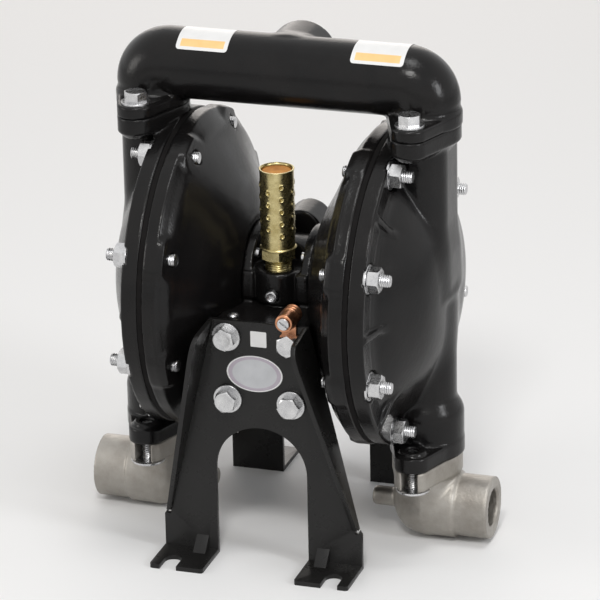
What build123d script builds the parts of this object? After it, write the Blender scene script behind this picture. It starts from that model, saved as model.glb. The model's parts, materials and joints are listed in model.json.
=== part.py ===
# Air operated double diaphragm pump, 1 inch metallic pattern.
# Millimetres, +Z up, origin on the floor midway between the two stands.
# The shaft runs along X, the ports face +Y (outlet, air) and +X / -X (inlets).

from math import cos, radians, sin, sqrt
import os

from build123d import *

os.makedirs("parts", exist_ok=True)

# ---------------------------------------------------------------- layout
SHAFT_Z = 168.0
COLUMN_X = 88.5
SHAFT = Axis((0, 0, SHAFT_Z), (1, 0, 0))
COLUMN = Axis((COLUMN_X, 0, 0), (0, 0, 1))
SIDES = (("left", -1), ("right", 1))

# flange stack, distances from the middle of the pump along X
NECK_X = 22.0
AIR_FLANGE_X = 56.0
DIAPHRAGM_IN_X = 64.5
DIAPHRAGM_OUT_X = 67.5
FLUID_FLANGE_X = 78.0
SPOT_FACE_X = 76.0
PAD_X = 51.75
STUB_X = 46.7
STUD_END_X = 91.0
DOME_X = 115.6

FLANGE_R = 100.75
FLANGE_EDGE = 1.2
DIAPHRAGM_R = 100.25
STUD_CIRCLE_R = 91.5
STUD_COUNT = 8
STUD_START = 22.5
STUD_R = 3.97
TAPPED_R = 4.0
CLEAR_R = 4.6
SPOT_FACE_R = 9.9
SPOT_FACE_H = 16.0
WASHER_R = 9.2
WASHER_T = 1.6
WASHER_PLAY = 0.2
BOLT_HEAD_AF = 12.7
BOLT_HEAD_H = 6.3
NUT_AF = 14.28
NUT_H = 7.4
THREAD_PLAY = 0.04

# bolted joints of the valve columns
EAR_Y = 32.5
EAR_R = 11.75
EAR_SITES = [(x, y) for x in (-COLUMN_X, COLUMN_X) for y in (-EAR_Y, EAR_Y)]
EAR_BOSS_R = 8.6
EAR_BOSS_H = 2.5
LOWER_TAP_L = 20.0
UPPER_TAP_L = 15.0
LENS_R = 22.8
LOWER_JOINT_Z = 58.0
LOWER_FLANGE_TOP_Z = 68.0
UPPER_FLANGE_Z = 267.0
UPPER_JOINT_Z = 276.8
MANIFOLD_FLANGE_TOP_Z = 284.5
COLUMN_START_Z = 70.0
COLUMN_R = 19.0
COLUMN_WIDTH = 38.6
COLUMN_DEPTH = 54.0
COLUMN_CORNER_R = 17.0
FLARE_H = 4.3
COLUMN_BORE_R = 13.5
HOUSING_R = 23.5
HOUSING_TOP_Z = 96.0
HOUSING_SHOULDER = ((0, 86.0), (2.2, 92.0), (8.0, HOUSING_TOP_Z))

# check valves
BALL_R = 12.7
SEAT_R = 17.0
SEAT_H = 6.0
SEAT_HOLE_R = 9.5
SEAT_FIT = 0.2
CHAMBER_R = 16.6
CHAMBER_H = 29.0
GUIDE_R = 13.1
GUIDE_L = 10.0
GUIDE_W = 3.2
SEAL_GROOVE = (2.0, 4.0)
SEAL_GROOVE_R = 15.5
SEAL_RING_R = 16.25
SEAL_R = 0.72
BALL_RISE = sqrt(BALL_R ** 2 - SEAT_HOLE_R ** 2) + 0.05

# outlet manifold
TUBE_Z = 302.3
TUBE_R = 22.45
TUBE_BORE_R = 16.0
MANIFOLD_COLUMN_R = 22.0
OUTLET_Y = 36.0
OUTLET_BOSS_R = 22.0
OUTLET_THREAD_R = 14.85
OUTLET_THREAD_L = 18.0
OUTLET_PASSAGE_R = 13.8

# inlet elbows
ELBOW_Z = 21.65
EAR_BOTTOM_Z = 45.0
ELBOW_BODY_R = 21.4
COLLAR_R = 21.4
COLLAR_X = 110.0
PORT_R = 20.0
PORT_X = 131.8
INLET_THREAD_R = 11.85
INLET_THREAD_L = 19.0
INLET_PASSAGE_R = 11.2
INLET_PASSAGE_X = COLUMN_X - 6.0
EAR_INSET = 0.6
SLOT_R = 5.2
STUB_EDGE_R = 2.5
STUB_R = 6.1
STUB_END_X = 52.8

# stands
SHEET = 3.0
PLATE_Y = 65.0
STAND_TOP_Z = 160.0
BEND_END_Z = 27.0
LEG_X = 65.2
LEG_INNER_X = 30.0
ARCH_Z = 59.5
FOOT_Y = 99.5
SLOT_X = 53.0
SLOT_W = 11.0
SLOT_END_Y = 83.5

# stand bolts
STAND_BOLT_X = 20.7
STAND_BOLT_ZS = (107.7, 149.2)
STAND_BOLT_SITES = [(x, z) for x in (-STAND_BOLT_X, STAND_BOLT_X) for z in STAND_BOLT_ZS]
STAND_BOLT_L = 17.0

# shaft and diaphragm stack
ROD_R = 9.525
ROD_HALF = 58.5
BUSH_OUTER_R = 13.0
BUSH_INNER_R = 9.58
CLAMP_R = 36.0
CLAMP_OUT_X = 74.5
CLAMP_CONE_R = 16.0
CLAMP_RIM_T = 2.5
CLAMP_BACK_R = 32.0
CLAMP_BACK_T = 3.0
SCREW_R = 4.0
SCREW_BORE_R = 4.1
SCREW_HEAD_AF = 12.7
SCREW_HEAD_T = 5.5
SCREW_L = 36.0
ROD_TAP_R = 4.02
ROD_TAP_L = 24.0
BUSH_L = 11.0
SEAL_X = 6.2
SEAL_L = 4.6
SEAL_PLAY = 0.02
ROLL_X = 6.0
ROLL_INNER_R = 41.0
ROLL_MIDDLE_R = 58.0
ROLL_OUTER_R = 75.0
ROLL_TAPER = 1.0

# pilot rod and air valve
PILOT_Z = SHAFT_Z - 20.0
PILOT_R = 3.0
PILOT_HALF = 52.2
PILOT_EDGE = 0.8
VALVE_Y = 20.0
VALVE_Z = 134.0
VALVE_R = 9.0
SPOOL_HALF = 14.0
SPOOL_NECK_R = 5.8
LAND_R = 8.95
LAND_L = 6.0
LAND_XS = (-SPOOL_HALF, -LAND_L / 2, SPOOL_HALF - LAND_L)
PLUG_IN_X = 18.5
PLUG_OUT_X = 21.5

# exhaust silencer
MUFFLER_Y = -24.7
BOSS_R = 14.7
BOSS_TOP_Z = 181.5
CAN_R = 10.7
CAN_BOTTOM_Z = 196.0
CAN_TOP_Z = 247.0

# air inlet
AIR_BOSS_Z = 188.7
AIR_BOSS_R = 14.0
AIR_FACE_Y = 45.0
AIR_THREAD_R = 5.6


def save(part, name):
    part.label = name
    export_step(part, f"parts/{name}.step")


def half_turn(part):
    return part.rotate(Axis.Z, 180)


def lens(extra=0.0):
    """Outline of the two-bolt joint: a round centre with two ears."""
    with BuildSketch(mode=Mode.PRIVATE) as outline:
        with Locations((COLUMN_X, 0)):
            Circle(LENS_R + extra)
        with Locations((COLUMN_X, EAR_Y), (COLUMN_X, -EAR_Y)):
            Circle(EAR_R + extra)
        make_hull()
    return outline.sketch


def ball_chamber():
    """Flow section round a ball, with four guide ribs left standing."""
    with BuildSketch(mode=Mode.PRIVATE) as section:
        with Locations((COLUMN_X, 0)):
            Circle(CHAMBER_R)
            with PolarLocations(CHAMBER_R, 4, start_angle=45):
                Rectangle(GUIDE_L, GUIDE_W, mode=Mode.SUBTRACT)
            Circle(GUIDE_R)
    return section.sketch


# ---------------------------------------------------------------- fluid caps
RIB_ANGLES = (0, 45, 135, 180, 225, 315)
RIB_HALF_W = 2.0
RIB_OUTLINE = ((77, 60), (77, 99.3), (79.2, 99.3), (85.5, 78), (92, 60))
WALL = 4.6
# distance along the shaft and from it
DOME = (
    (FLUID_FLANGE_X, 84),
    (93.5, 68),
    (107, 49),
    (113.4, 33),
    (DOME_X, 16),
)
WETTED_R = 79.0
WETTED_X = DIAPHRAGM_OUT_X - 1
WETTED = (
    (73, WETTED_R),
    (90, 63),
    (102.5, 46),
    (108.6, 31),
    (DOME_X - WALL, 15),
)


def off_shaft(points):
    """Profile points given as distances from the shaft, moved to its height."""
    return [(x, SHAFT_Z + r) for x, r in points]


with BuildPart() as fluid_cap:
    with BuildSketch(Plane.XZ):
        with BuildLine():
            Polyline(
                (DOME_X, SHAFT_Z),
                (DIAPHRAGM_OUT_X, SHAFT_Z),
                (DIAPHRAGM_OUT_X, SHAFT_Z + FLANGE_R),
                (FLUID_FLANGE_X - FLANGE_EDGE, SHAFT_Z + FLANGE_R),
                (FLUID_FLANGE_X, SHAFT_Z + FLANGE_R - FLANGE_EDGE),
                (FLUID_FLANGE_X, SHAFT_Z + DOME[0][1]),
            )
            Spline(*off_shaft(DOME), tangents=((1, -0.75), (0, -1)))
            Line((DOME_X, SHAFT_Z + DOME[-1][1]), (DOME_X, SHAFT_Z))
        make_face()
    revolve(axis=SHAFT)
    # radial ribs between the studs
    for angle in RIB_ANGLES:
        rib_plane = Plane(
            origin=(0, 0, SHAFT_Z),
            x_dir=(1, 0, 0),
            z_dir=(0, sin(radians(angle)), cos(radians(angle))),
        )
        with BuildSketch(rib_plane):
            Polygon(*RIB_OUTLINE, align=None)
        extrude(amount=RIB_HALF_W, both=True)
    # valve column and the wider inlet ball housing
    with BuildSketch(Plane.XY.offset(COLUMN_START_Z)):
        with Locations((COLUMN_X, 0)):
            Circle(COLUMN_R)
    extrude(amount=SHAFT_Z - COLUMN_START_Z)
    with BuildSketch(Plane.XY.offset(SHAFT_Z)):
        with Locations((COLUMN_X, 0)):
            RectangleRounded(COLUMN_WIDTH, COLUMN_DEPTH, COLUMN_CORNER_R)
    extrude(amount=UPPER_FLANGE_Z - SHAFT_Z)
    with BuildSketch(Plane.XZ):
        with BuildLine():
            shoulder = [(COLUMN_X + HOUSING_R - inset, z) for inset, z in HOUSING_SHOULDER]
            Polyline(
                (COLUMN_X, HOUSING_TOP_Z),
                (COLUMN_X, LOWER_JOINT_Z),
                (COLUMN_X + HOUSING_R, LOWER_JOINT_Z),
                shoulder[0],
            )
            ThreePointArc(*shoulder)
            Line(shoulder[-1], (COLUMN_X, HOUSING_TOP_Z))
        make_face()
    revolve(axis=COLUMN)
    # two-bolt flanges
    with BuildSketch(Plane.XY.offset(LOWER_JOINT_Z)):
        add(lens())
    extrude(amount=LOWER_FLANGE_TOP_Z - LOWER_JOINT_Z)
    with BuildSketch(Plane.XY.offset(LOWER_FLANGE_TOP_Z)):
        with Locations((COLUMN_X, EAR_Y), (COLUMN_X, -EAR_Y)):
            Circle(EAR_BOSS_R)
    extrude(amount=EAR_BOSS_H)
    with BuildSketch(Plane.XY.offset(UPPER_FLANGE_Z)):
        add(lens())
    extrude(amount=UPPER_JOINT_Z - UPPER_FLANGE_Z)
    # sloped underside of the upper flange
    with Locations((COLUMN_X, 0, UPPER_FLANGE_Z - FLARE_H / 2)):
        Cone(LENS_R - FLARE_H, LENS_R, FLARE_H)
    with Locations(*[(COLUMN_X, sign * EAR_Y, UPPER_FLANGE_Z - FLARE_H / 2) for sign in (-1, 1)]):
        Cone(EAR_R - FLARE_H, EAR_R, FLARE_H)
    with BuildSketch(Plane.XZ.offset(-EAR_Y)):
        Polygon(
            (COLUMN_X - EAR_R + FLARE_H, UPPER_FLANGE_Z - FLARE_H),
            (COLUMN_X - EAR_R, UPPER_FLANGE_Z),
            (COLUMN_X + EAR_R, UPPER_FLANGE_Z),
            (COLUMN_X + EAR_R - FLARE_H, UPPER_FLANGE_Z - FLARE_H),
            align=None,
        )
    extrude(amount=2 * EAR_Y)
    # room for the diaphragm edge beside the two flanges
    with Locations((DIAPHRAGM_OUT_X / 2, 0, SHAFT_Z)):
        Box(DIAPHRAGM_OUT_X, 2.2 * FLANGE_R, 2 * FLANGE_R + 2, mode=Mode.SUBTRACT)
    # wetted chamber
    with BuildSketch(Plane.XZ):
        with BuildLine():
            Polyline(
                (DOME_X - WALL, SHAFT_Z),
                (WETTED_X, SHAFT_Z),
                (WETTED_X, SHAFT_Z + WETTED_R),
                (WETTED[0][0], SHAFT_Z + WETTED_R),
            )
            Spline(*off_shaft(WETTED), tangents=((1, -0.6), (0, -1)))
            Line((DOME_X - WALL, SHAFT_Z + WETTED[-1][1]), (DOME_X - WALL, SHAFT_Z))
        make_face()
    revolve(axis=SHAFT, mode=Mode.SUBTRACT)
    # vertical passage, inlet ball chamber and seat recess
    with BuildSketch(Plane.XY.offset(LOWER_JOINT_Z)):
        with Locations((COLUMN_X, 0)):
            Circle(COLUMN_BORE_R)
    extrude(amount=UPPER_JOINT_Z - LOWER_JOINT_Z, mode=Mode.SUBTRACT)
    with BuildSketch(Plane.XY.offset(LOWER_JOINT_Z + SEAT_H)):
        add(ball_chamber())
    extrude(amount=CHAMBER_H, mode=Mode.SUBTRACT)
    with BuildSketch(Plane.XY.offset(LOWER_JOINT_Z)):
        with Locations((COLUMN_X, 0)):
            Circle(SEAT_R + SEAT_FIT)
    extrude(amount=SEAT_H, mode=Mode.SUBTRACT)
    # tapped ears, stud holes and spot faces
    with BuildSketch(Plane.XY.offset(LOWER_JOINT_Z)):
        with Locations((COLUMN_X, EAR_Y), (COLUMN_X, -EAR_Y)):
            Circle(TAPPED_R)
    extrude(amount=LOWER_TAP_L, mode=Mode.SUBTRACT)
    with BuildSketch(Plane.XY.offset(UPPER_JOINT_Z)):
        with Locations((COLUMN_X, EAR_Y), (COLUMN_X, -EAR_Y)):
            Circle(TAPPED_R)
    extrude(amount=-UPPER_TAP_L, mode=Mode.SUBTRACT)
    with BuildSketch(Plane.YZ.offset(DIAPHRAGM_OUT_X)):
        with Locations((0, SHAFT_Z)):
            with PolarLocations(STUD_CIRCLE_R, STUD_COUNT, start_angle=STUD_START):
                Circle(CLEAR_R)
    extrude(amount=DOME_X - DIAPHRAGM_OUT_X, mode=Mode.SUBTRACT)
    with BuildSketch(Plane.YZ.offset(SPOT_FACE_X)):
        with Locations((0, SHAFT_Z)):
            with PolarLocations(STUD_CIRCLE_R, STUD_COUNT, start_angle=STUD_START):
                Circle(SPOT_FACE_R)
    extrude(amount=SPOT_FACE_H, mode=Mode.SUBTRACT)

save(fluid_cap.part, "fluid_cap_right")
save(half_turn(fluid_cap.part), "fluid_cap_left")

# ---------------------------------------------------------------- air caps
BELL = (
    (NECK_X, 33.5),
    (26, 42),
    (31, 50),
    (36, 57),
    (47, 79),
    (51, 89),
    (AIR_FLANGE_X, 92.5),
)
BELL_EDGE = 1.0
PAD_R = 12.4
FLOOR_X = 46.5
AIR_CHAMBER = (
    (FLOOR_X, 0),
    (FLOOR_X, 41),
    (48.5, 47),
    (58, 74),
    (62, WETTED_R),
)
ROD_PLAY = 0.8
PILOT_PLAY = 0.4
AIR_PORT_Y = 20.0
AIR_PORT_R = 3.5

# socket screws that hold each air cap to the neck
SCREW_CIRCLE_R = 27.5
SCREW_COUNT = 4
SCREW_START = 45.0
SCREW_SHANK_R = 2.98
SCREW_TAP_R = 3.0
SCREW_TAP_L = 9.0
SCREW_CLEAR_R = 3.3
SCREW_END_X = 14.0
SCREW_HEAD_R = 5.0
SCREW_HEAD_H = 6.0
SCREW_KEY_AF = 5.0
SCREW_KEY_L = 3.0
COUNTERBORE_R = 5.6
COUNTERBORE_L = 9.0
SCREW_SEAT_X = FLOOR_X - COUNTERBORE_L

with BuildPart() as air_cap:
    with BuildSketch(Plane.XZ):
        with BuildLine():
            Polyline(
                (DIAPHRAGM_IN_X, SHAFT_Z),
                (NECK_X, SHAFT_Z),
                (BELL[0][0], SHAFT_Z + BELL[0][1]),
            )
            Spline(*off_shaft(BELL))
            Polyline(
                (AIR_FLANGE_X, SHAFT_Z + BELL[-1][1]),
                (AIR_FLANGE_X, SHAFT_Z + FLANGE_R - BELL_EDGE),
                (AIR_FLANGE_X + BELL_EDGE, SHAFT_Z + FLANGE_R),
                (DIAPHRAGM_IN_X, SHAFT_Z + FLANGE_R),
                (DIAPHRAGM_IN_X, SHAFT_Z),
            )
        make_face()
    revolve(axis=SHAFT)
    # tapped pads behind the flange, cut off at the rim
    with BuildSketch(Plane.YZ.offset(PAD_X)):
        with Locations((0, SHAFT_Z)):
            with PolarLocations(STUD_CIRCLE_R, STUD_COUNT, start_angle=STUD_START):
                Circle(PAD_R)
            Circle(FLANGE_R, mode=Mode.INTERSECT)
    extrude(amount=DIAPHRAGM_IN_X - PAD_X)
    # air chamber behind the diaphragm
    with BuildSketch(Plane.XZ):
        with BuildLine():
            Polyline(
                *off_shaft(AIR_CHAMBER),
                (DIAPHRAGM_IN_X + 1, SHAFT_Z + WETTED_R),
                (DIAPHRAGM_IN_X + 1, SHAFT_Z),
                close=True,
            )
        make_face()
    revolve(axis=SHAFT, mode=Mode.SUBTRACT)
    # rod hole, pilot hole, air port
    with BuildSketch(Plane.YZ.offset(NECK_X)):
        with Locations((0, SHAFT_Z)):
            Circle(ROD_R + ROD_PLAY)
        with Locations((0, PILOT_Z)):
            Circle(PILOT_R + PILOT_PLAY)
        with Locations((AIR_PORT_Y, SHAFT_Z), (-AIR_PORT_Y, SHAFT_Z)):
            Circle(AIR_PORT_R)
    extrude(amount=FLOOR_X - NECK_X, mode=Mode.SUBTRACT)
    # counterbored holes for the neck screws
    with BuildSketch(Plane.YZ.offset(NECK_X)):
        with Locations((0, SHAFT_Z)):
            with PolarLocations(SCREW_CIRCLE_R, SCREW_COUNT, start_angle=SCREW_START):
                Circle(SCREW_CLEAR_R)
    extrude(amount=FLOOR_X - NECK_X, mode=Mode.SUBTRACT)
    with BuildSketch(Plane.YZ.offset(FLOOR_X)):
        with Locations((0, SHAFT_Z)):
            with PolarLocations(SCREW_CIRCLE_R, SCREW_COUNT, start_angle=SCREW_START):
                Circle(COUNTERBORE_R)
    extrude(amount=-COUNTERBORE_L, mode=Mode.SUBTRACT)
    # tapped stud holes
    with BuildSketch(Plane.YZ.offset(STUB_X)):
        with Locations((0, SHAFT_Z)):
            with PolarLocations(STUD_CIRCLE_R, STUD_COUNT, start_angle=STUD_START):
                Circle(TAPPED_R)
    extrude(amount=DIAPHRAGM_IN_X - STUB_X, mode=Mode.SUBTRACT)

save(air_cap.part, "air_cap_right")
save(mirror(air_cap.part, about=Plane.YZ), "air_cap_left")

with BuildPart() as air_cap_screws:
    for _, sign in SIDES:
        with BuildSketch(Plane.YZ.offset(sign * SCREW_END_X)):
            with Locations((0, SHAFT_Z)):
                with PolarLocations(SCREW_CIRCLE_R, SCREW_COUNT, start_angle=SCREW_START):
                    Circle(SCREW_SHANK_R)
        extrude(amount=sign * (SCREW_SEAT_X - SCREW_END_X))
        with BuildSketch(Plane.YZ.offset(sign * SCREW_SEAT_X)):
            with Locations((0, SHAFT_Z)):
                with PolarLocations(SCREW_CIRCLE_R, SCREW_COUNT, start_angle=SCREW_START):
                    Circle(SCREW_HEAD_R)
                    RegularPolygon(SCREW_KEY_AF / 2, 6, major_radius=False, mode=Mode.SUBTRACT)
        extrude(amount=sign * SCREW_HEAD_H)
        with BuildSketch(Plane.YZ.offset(sign * SCREW_SEAT_X)):
            with Locations((0, SHAFT_Z)):
                with PolarLocations(SCREW_CIRCLE_R, SCREW_COUNT, start_angle=SCREW_START):
                    Circle(SCREW_HEAD_R)
        extrude(amount=sign * (SCREW_HEAD_H - SCREW_KEY_L))
save(air_cap_screws.part, "air_cap_screws")

# ---------------------------------------------------------------- center body
BLOCK_X = 30.0
BLOCK_BOTTOM_Z = 98.0
BLOCK_TOP_Z = 158.5
BLOCK_EDGE_R = 3.0
CORE = (46.0, 92.0, 20.0)
HUB_R = 26.0
END_FLANGE_R = 33.2
END_FLANGE_T = 6.5
BOSS_BOTTOM_Z = 160.6
BOSS_FOOT_R = 11.2
BOSS_FOOT_Z = 152.5
BOSS_FOOT_H = 9.0
AIR_BOSS_FOOT_Z = 150.0
AIR_BOSS_BACK_Y = 20.0
CASTING_PAD = (8.0, 9.0, 18.0)
CASTING_PAD_SITES = ((-16.5, -30.0, 171.0), (18.5, -30.0, 171.0))
BELL_CLEARANCE = (
    (NECK_X, 35.5),
    (25, 43.5),
    (29.5, 51.5),
    (34.5, 58.5),
    (45, 80),
)
BELL_CLEARANCE_X = 70.0
RELIEF_R = 11.5
BUSH_POCKET_L = 16.0
AIR_PORT_L = 10.5
FEED_X = 12.0
FEED_R = 3.0
SUPPLY_R = 4.0
SUPPLY_Y = VALVE_Y + 4.0
SUPPLY_END = 3.0
AIR_THREAD_L = 15.0
EXHAUST_R = 5.0
EXHAUST_L = 60.0
FITTING_TAP_R = 8.6
FITTING_TAP_L = 13.0
FITTING_ROOM_R = BOSS_R + 1.5
FITTING_ROOM_H = 20.0
PLUG_Z = SHAFT_Z - 1.0
PLUG_TAP_R = 4.0
PLUG_TAP_L = 6.5
PAN_SITE = (-19.6, -57.0)
PAN_TAP_R = 2.0
PAN_TAP_L = 4.6
FIT = 0.05

with BuildPart() as center_body:
    # hub round the shaft with an end flange for each air cap
    with BuildSketch(Plane.YZ.offset(-NECK_X)):
        with Locations((0, SHAFT_Z)):
            Circle(HUB_R)
    extrude(amount=2 * NECK_X)
    for _, sign in SIDES:
        with BuildSketch(Plane.YZ.offset(sign * NECK_X)):
            with Locations((0, SHAFT_Z)):
                Circle(END_FLANGE_R)
        extrude(amount=-sign * END_FLANGE_T)
    # block that carries the stands
    with Locations((0, 0, (BLOCK_BOTTOM_Z + BLOCK_TOP_Z) / 2)):
        Box(2 * BLOCK_X, 2 * PLATE_Y, BLOCK_TOP_Z - BLOCK_BOTTOM_Z)
    fillet(center_body.edges().filter_by(Axis.Z), radius=BLOCK_EDGE_R)
    # exhaust boss with a rounded foot
    with BuildSketch(Plane.XY.offset(BOSS_BOTTOM_Z)):
        with Locations((0, MUFFLER_Y)):
            Circle(BOSS_R)
    extrude(amount=BOSS_TOP_Z - BOSS_BOTTOM_Z)
    with BuildSketch(Plane.XY.offset(BOSS_FOOT_Z)):
        with Locations((0, MUFFLER_Y)):
            Circle(BOSS_FOOT_R)
    extrude(amount=BOSS_FOOT_H)
    # air inlet boss with an arched top
    with BuildSketch(Plane.XZ.offset(-AIR_FACE_Y)):
        with Locations((0, AIR_BOSS_Z)):
            Circle(AIR_BOSS_R)
        with Locations((0, (AIR_BOSS_FOOT_Z + AIR_BOSS_Z) / 2)):
            Rectangle(2 * AIR_BOSS_R, AIR_BOSS_Z - AIR_BOSS_FOOT_Z)
    extrude(amount=AIR_FACE_Y - AIR_BOSS_BACK_Y)
    # casting pads each side of the exhaust boss
    with Locations(*CASTING_PAD_SITES):
        Box(*CASTING_PAD)
    # clearance round the two bells
    for _, sign in SIDES:
        with BuildSketch(Plane.XZ):
            with BuildLine():
                Polyline(
                    (sign * BELL_CLEARANCE_X, SHAFT_Z),
                    (sign * NECK_X, SHAFT_Z),
                    *off_shaft([(sign * x, r) for x, r in BELL_CLEARANCE]),
                    (sign * BELL_CLEARANCE_X, SHAFT_Z + BELL_CLEARANCE[-1][1]),
                    close=True,
                )
            make_face()
        revolve(axis=SHAFT, mode=Mode.SUBTRACT)
    # cored underside
    with Locations((0, 0, BLOCK_BOTTOM_Z + CORE[2] / 2)):
        Box(*CORE, mode=Mode.SUBTRACT)
    # shaft bore: bushing pockets at both ends, relief in the middle
    with BuildSketch(Plane.YZ.offset(-NECK_X)):
        with Locations((0, SHAFT_Z)):
            Circle(RELIEF_R)
        with Locations((0, PILOT_Z)):
            Circle(PILOT_R + FIT)
    extrude(amount=2 * NECK_X, mode=Mode.SUBTRACT)
    for _, sign in SIDES:
        with BuildSketch(Plane.YZ.offset(sign * NECK_X)):
            with Locations((0, SHAFT_Z)):
                Circle(BUSH_OUTER_R + FIT)
        extrude(amount=-sign * BUSH_POCKET_L, mode=Mode.SUBTRACT)
        # tapped holes for the air cap screws
        with BuildSketch(Plane.YZ.offset(sign * NECK_X)):
            with Locations((0, SHAFT_Z)):
                with PolarLocations(SCREW_CIRCLE_R, SCREW_COUNT, start_angle=SCREW_START):
                    Circle(SCREW_TAP_R)
        extrude(amount=-sign * SCREW_TAP_L, mode=Mode.SUBTRACT)
        # chamber air ports and the drillings that feed them
        with BuildSketch(Plane.YZ.offset(sign * NECK_X)):
            with Locations((AIR_PORT_Y, SHAFT_Z)):
                Circle(AIR_PORT_R)
        extrude(amount=-sign * AIR_PORT_L, mode=Mode.SUBTRACT)
        with BuildSketch(Plane.XY.offset(VALVE_Z)):
            with Locations((sign * FEED_X, VALVE_Y)):
                Circle(FEED_R)
        extrude(amount=SHAFT_Z - VALVE_Z, mode=Mode.SUBTRACT)
        # tapped holes for the stand bolts
        with BuildSketch(Plane.XZ.offset(sign * PLATE_Y)):
            with Locations(*STAND_BOLT_SITES):
                Circle(TAPPED_R)
        extrude(amount=-sign * (STAND_BOLT_L - WASHER_T), mode=Mode.SUBTRACT)
    # valve bore, supply and exhaust drillings
    with BuildSketch(Plane.YZ.offset(-BLOCK_X)):
        with Locations((VALVE_Y, VALVE_Z)):
            Circle(VALVE_R)
    extrude(amount=2 * BLOCK_X, mode=Mode.SUBTRACT)
    with BuildSketch(Plane.XY.offset(VALVE_Z)):
        with Locations((0, SUPPLY_Y)):
            Circle(SUPPLY_R)
    extrude(amount=AIR_BOSS_Z - VALVE_Z, mode=Mode.SUBTRACT)
    with BuildSketch(Plane.XZ.offset(-AIR_FACE_Y)):
        with Locations((0, AIR_BOSS_Z)):
            Circle(AIR_THREAD_R)
    extrude(amount=AIR_THREAD_L, mode=Mode.SUBTRACT)
    with BuildSketch(Plane.XZ.offset(-AIR_FACE_Y + AIR_THREAD_L)):
        with Locations((0, AIR_BOSS_Z)):
            Circle(SUPPLY_R)
    extrude(amount=AIR_FACE_Y - AIR_THREAD_L - SUPPLY_Y + SUPPLY_END, mode=Mode.SUBTRACT)
    with BuildSketch(Plane.XZ.offset(-VALVE_Y)):
        with Locations((0, VALVE_Z)):
            Circle(SUPPLY_R)
    extrude(amount=VALVE_Y - MUFFLER_Y, mode=Mode.SUBTRACT)
    with BuildSketch(Plane.XY.offset(VALVE_Z)):
        with Locations((0, MUFFLER_Y)):
            Circle(EXHAUST_R)
    extrude(amount=EXHAUST_L, mode=Mode.SUBTRACT)
    with BuildSketch(Plane.XY.offset(BOSS_TOP_Z)):
        with Locations((0, MUFFLER_Y)):
            Circle(FITTING_ROOM_R)
    extrude(amount=FITTING_ROOM_H, mode=Mode.SUBTRACT)
    with BuildSketch(Plane.XY.offset(BOSS_TOP_Z)):
        with Locations((0, MUFFLER_Y)):
            Circle(FITTING_TAP_R)
    extrude(amount=-FITTING_TAP_L, mode=Mode.SUBTRACT)
    # seat of the socket plug in the front of the exhaust boss
    with BuildSketch(Plane.XZ.offset(-MUFFLER_Y + BOSS_R)):
        with Locations((0, PLUG_Z)):
            Circle(PLUG_TAP_R)
    extrude(amount=-PLUG_TAP_L, mode=Mode.SUBTRACT)
    # tapped hole of the top screw
    with BuildSketch(Plane.XY.offset(BLOCK_TOP_Z)):
        with Locations(PAN_SITE):
            Circle(PAN_TAP_R)
    extrude(amount=-PAN_TAP_L, mode=Mode.SUBTRACT)
save(center_body.part, "center_body")

# ---------------------------------------------------------------- shaft assembly
with BuildPart() as diaphragm_rod:
    with BuildSketch(Plane.YZ.offset(-ROD_HALF)):
        with Locations((0, SHAFT_Z)):
            Circle(ROD_R)
    extrude(amount=2 * ROD_HALF)
    for _, sign in SIDES:
        with BuildSketch(Plane.YZ.offset(sign * ROD_HALF)):
            with Locations((0, SHAFT_Z)):
                Circle(ROD_TAP_R)
        extrude(amount=-sign * ROD_TAP_L, mode=Mode.SUBTRACT)
save(diaphragm_rod.part, "diaphragm_rod")

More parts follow.
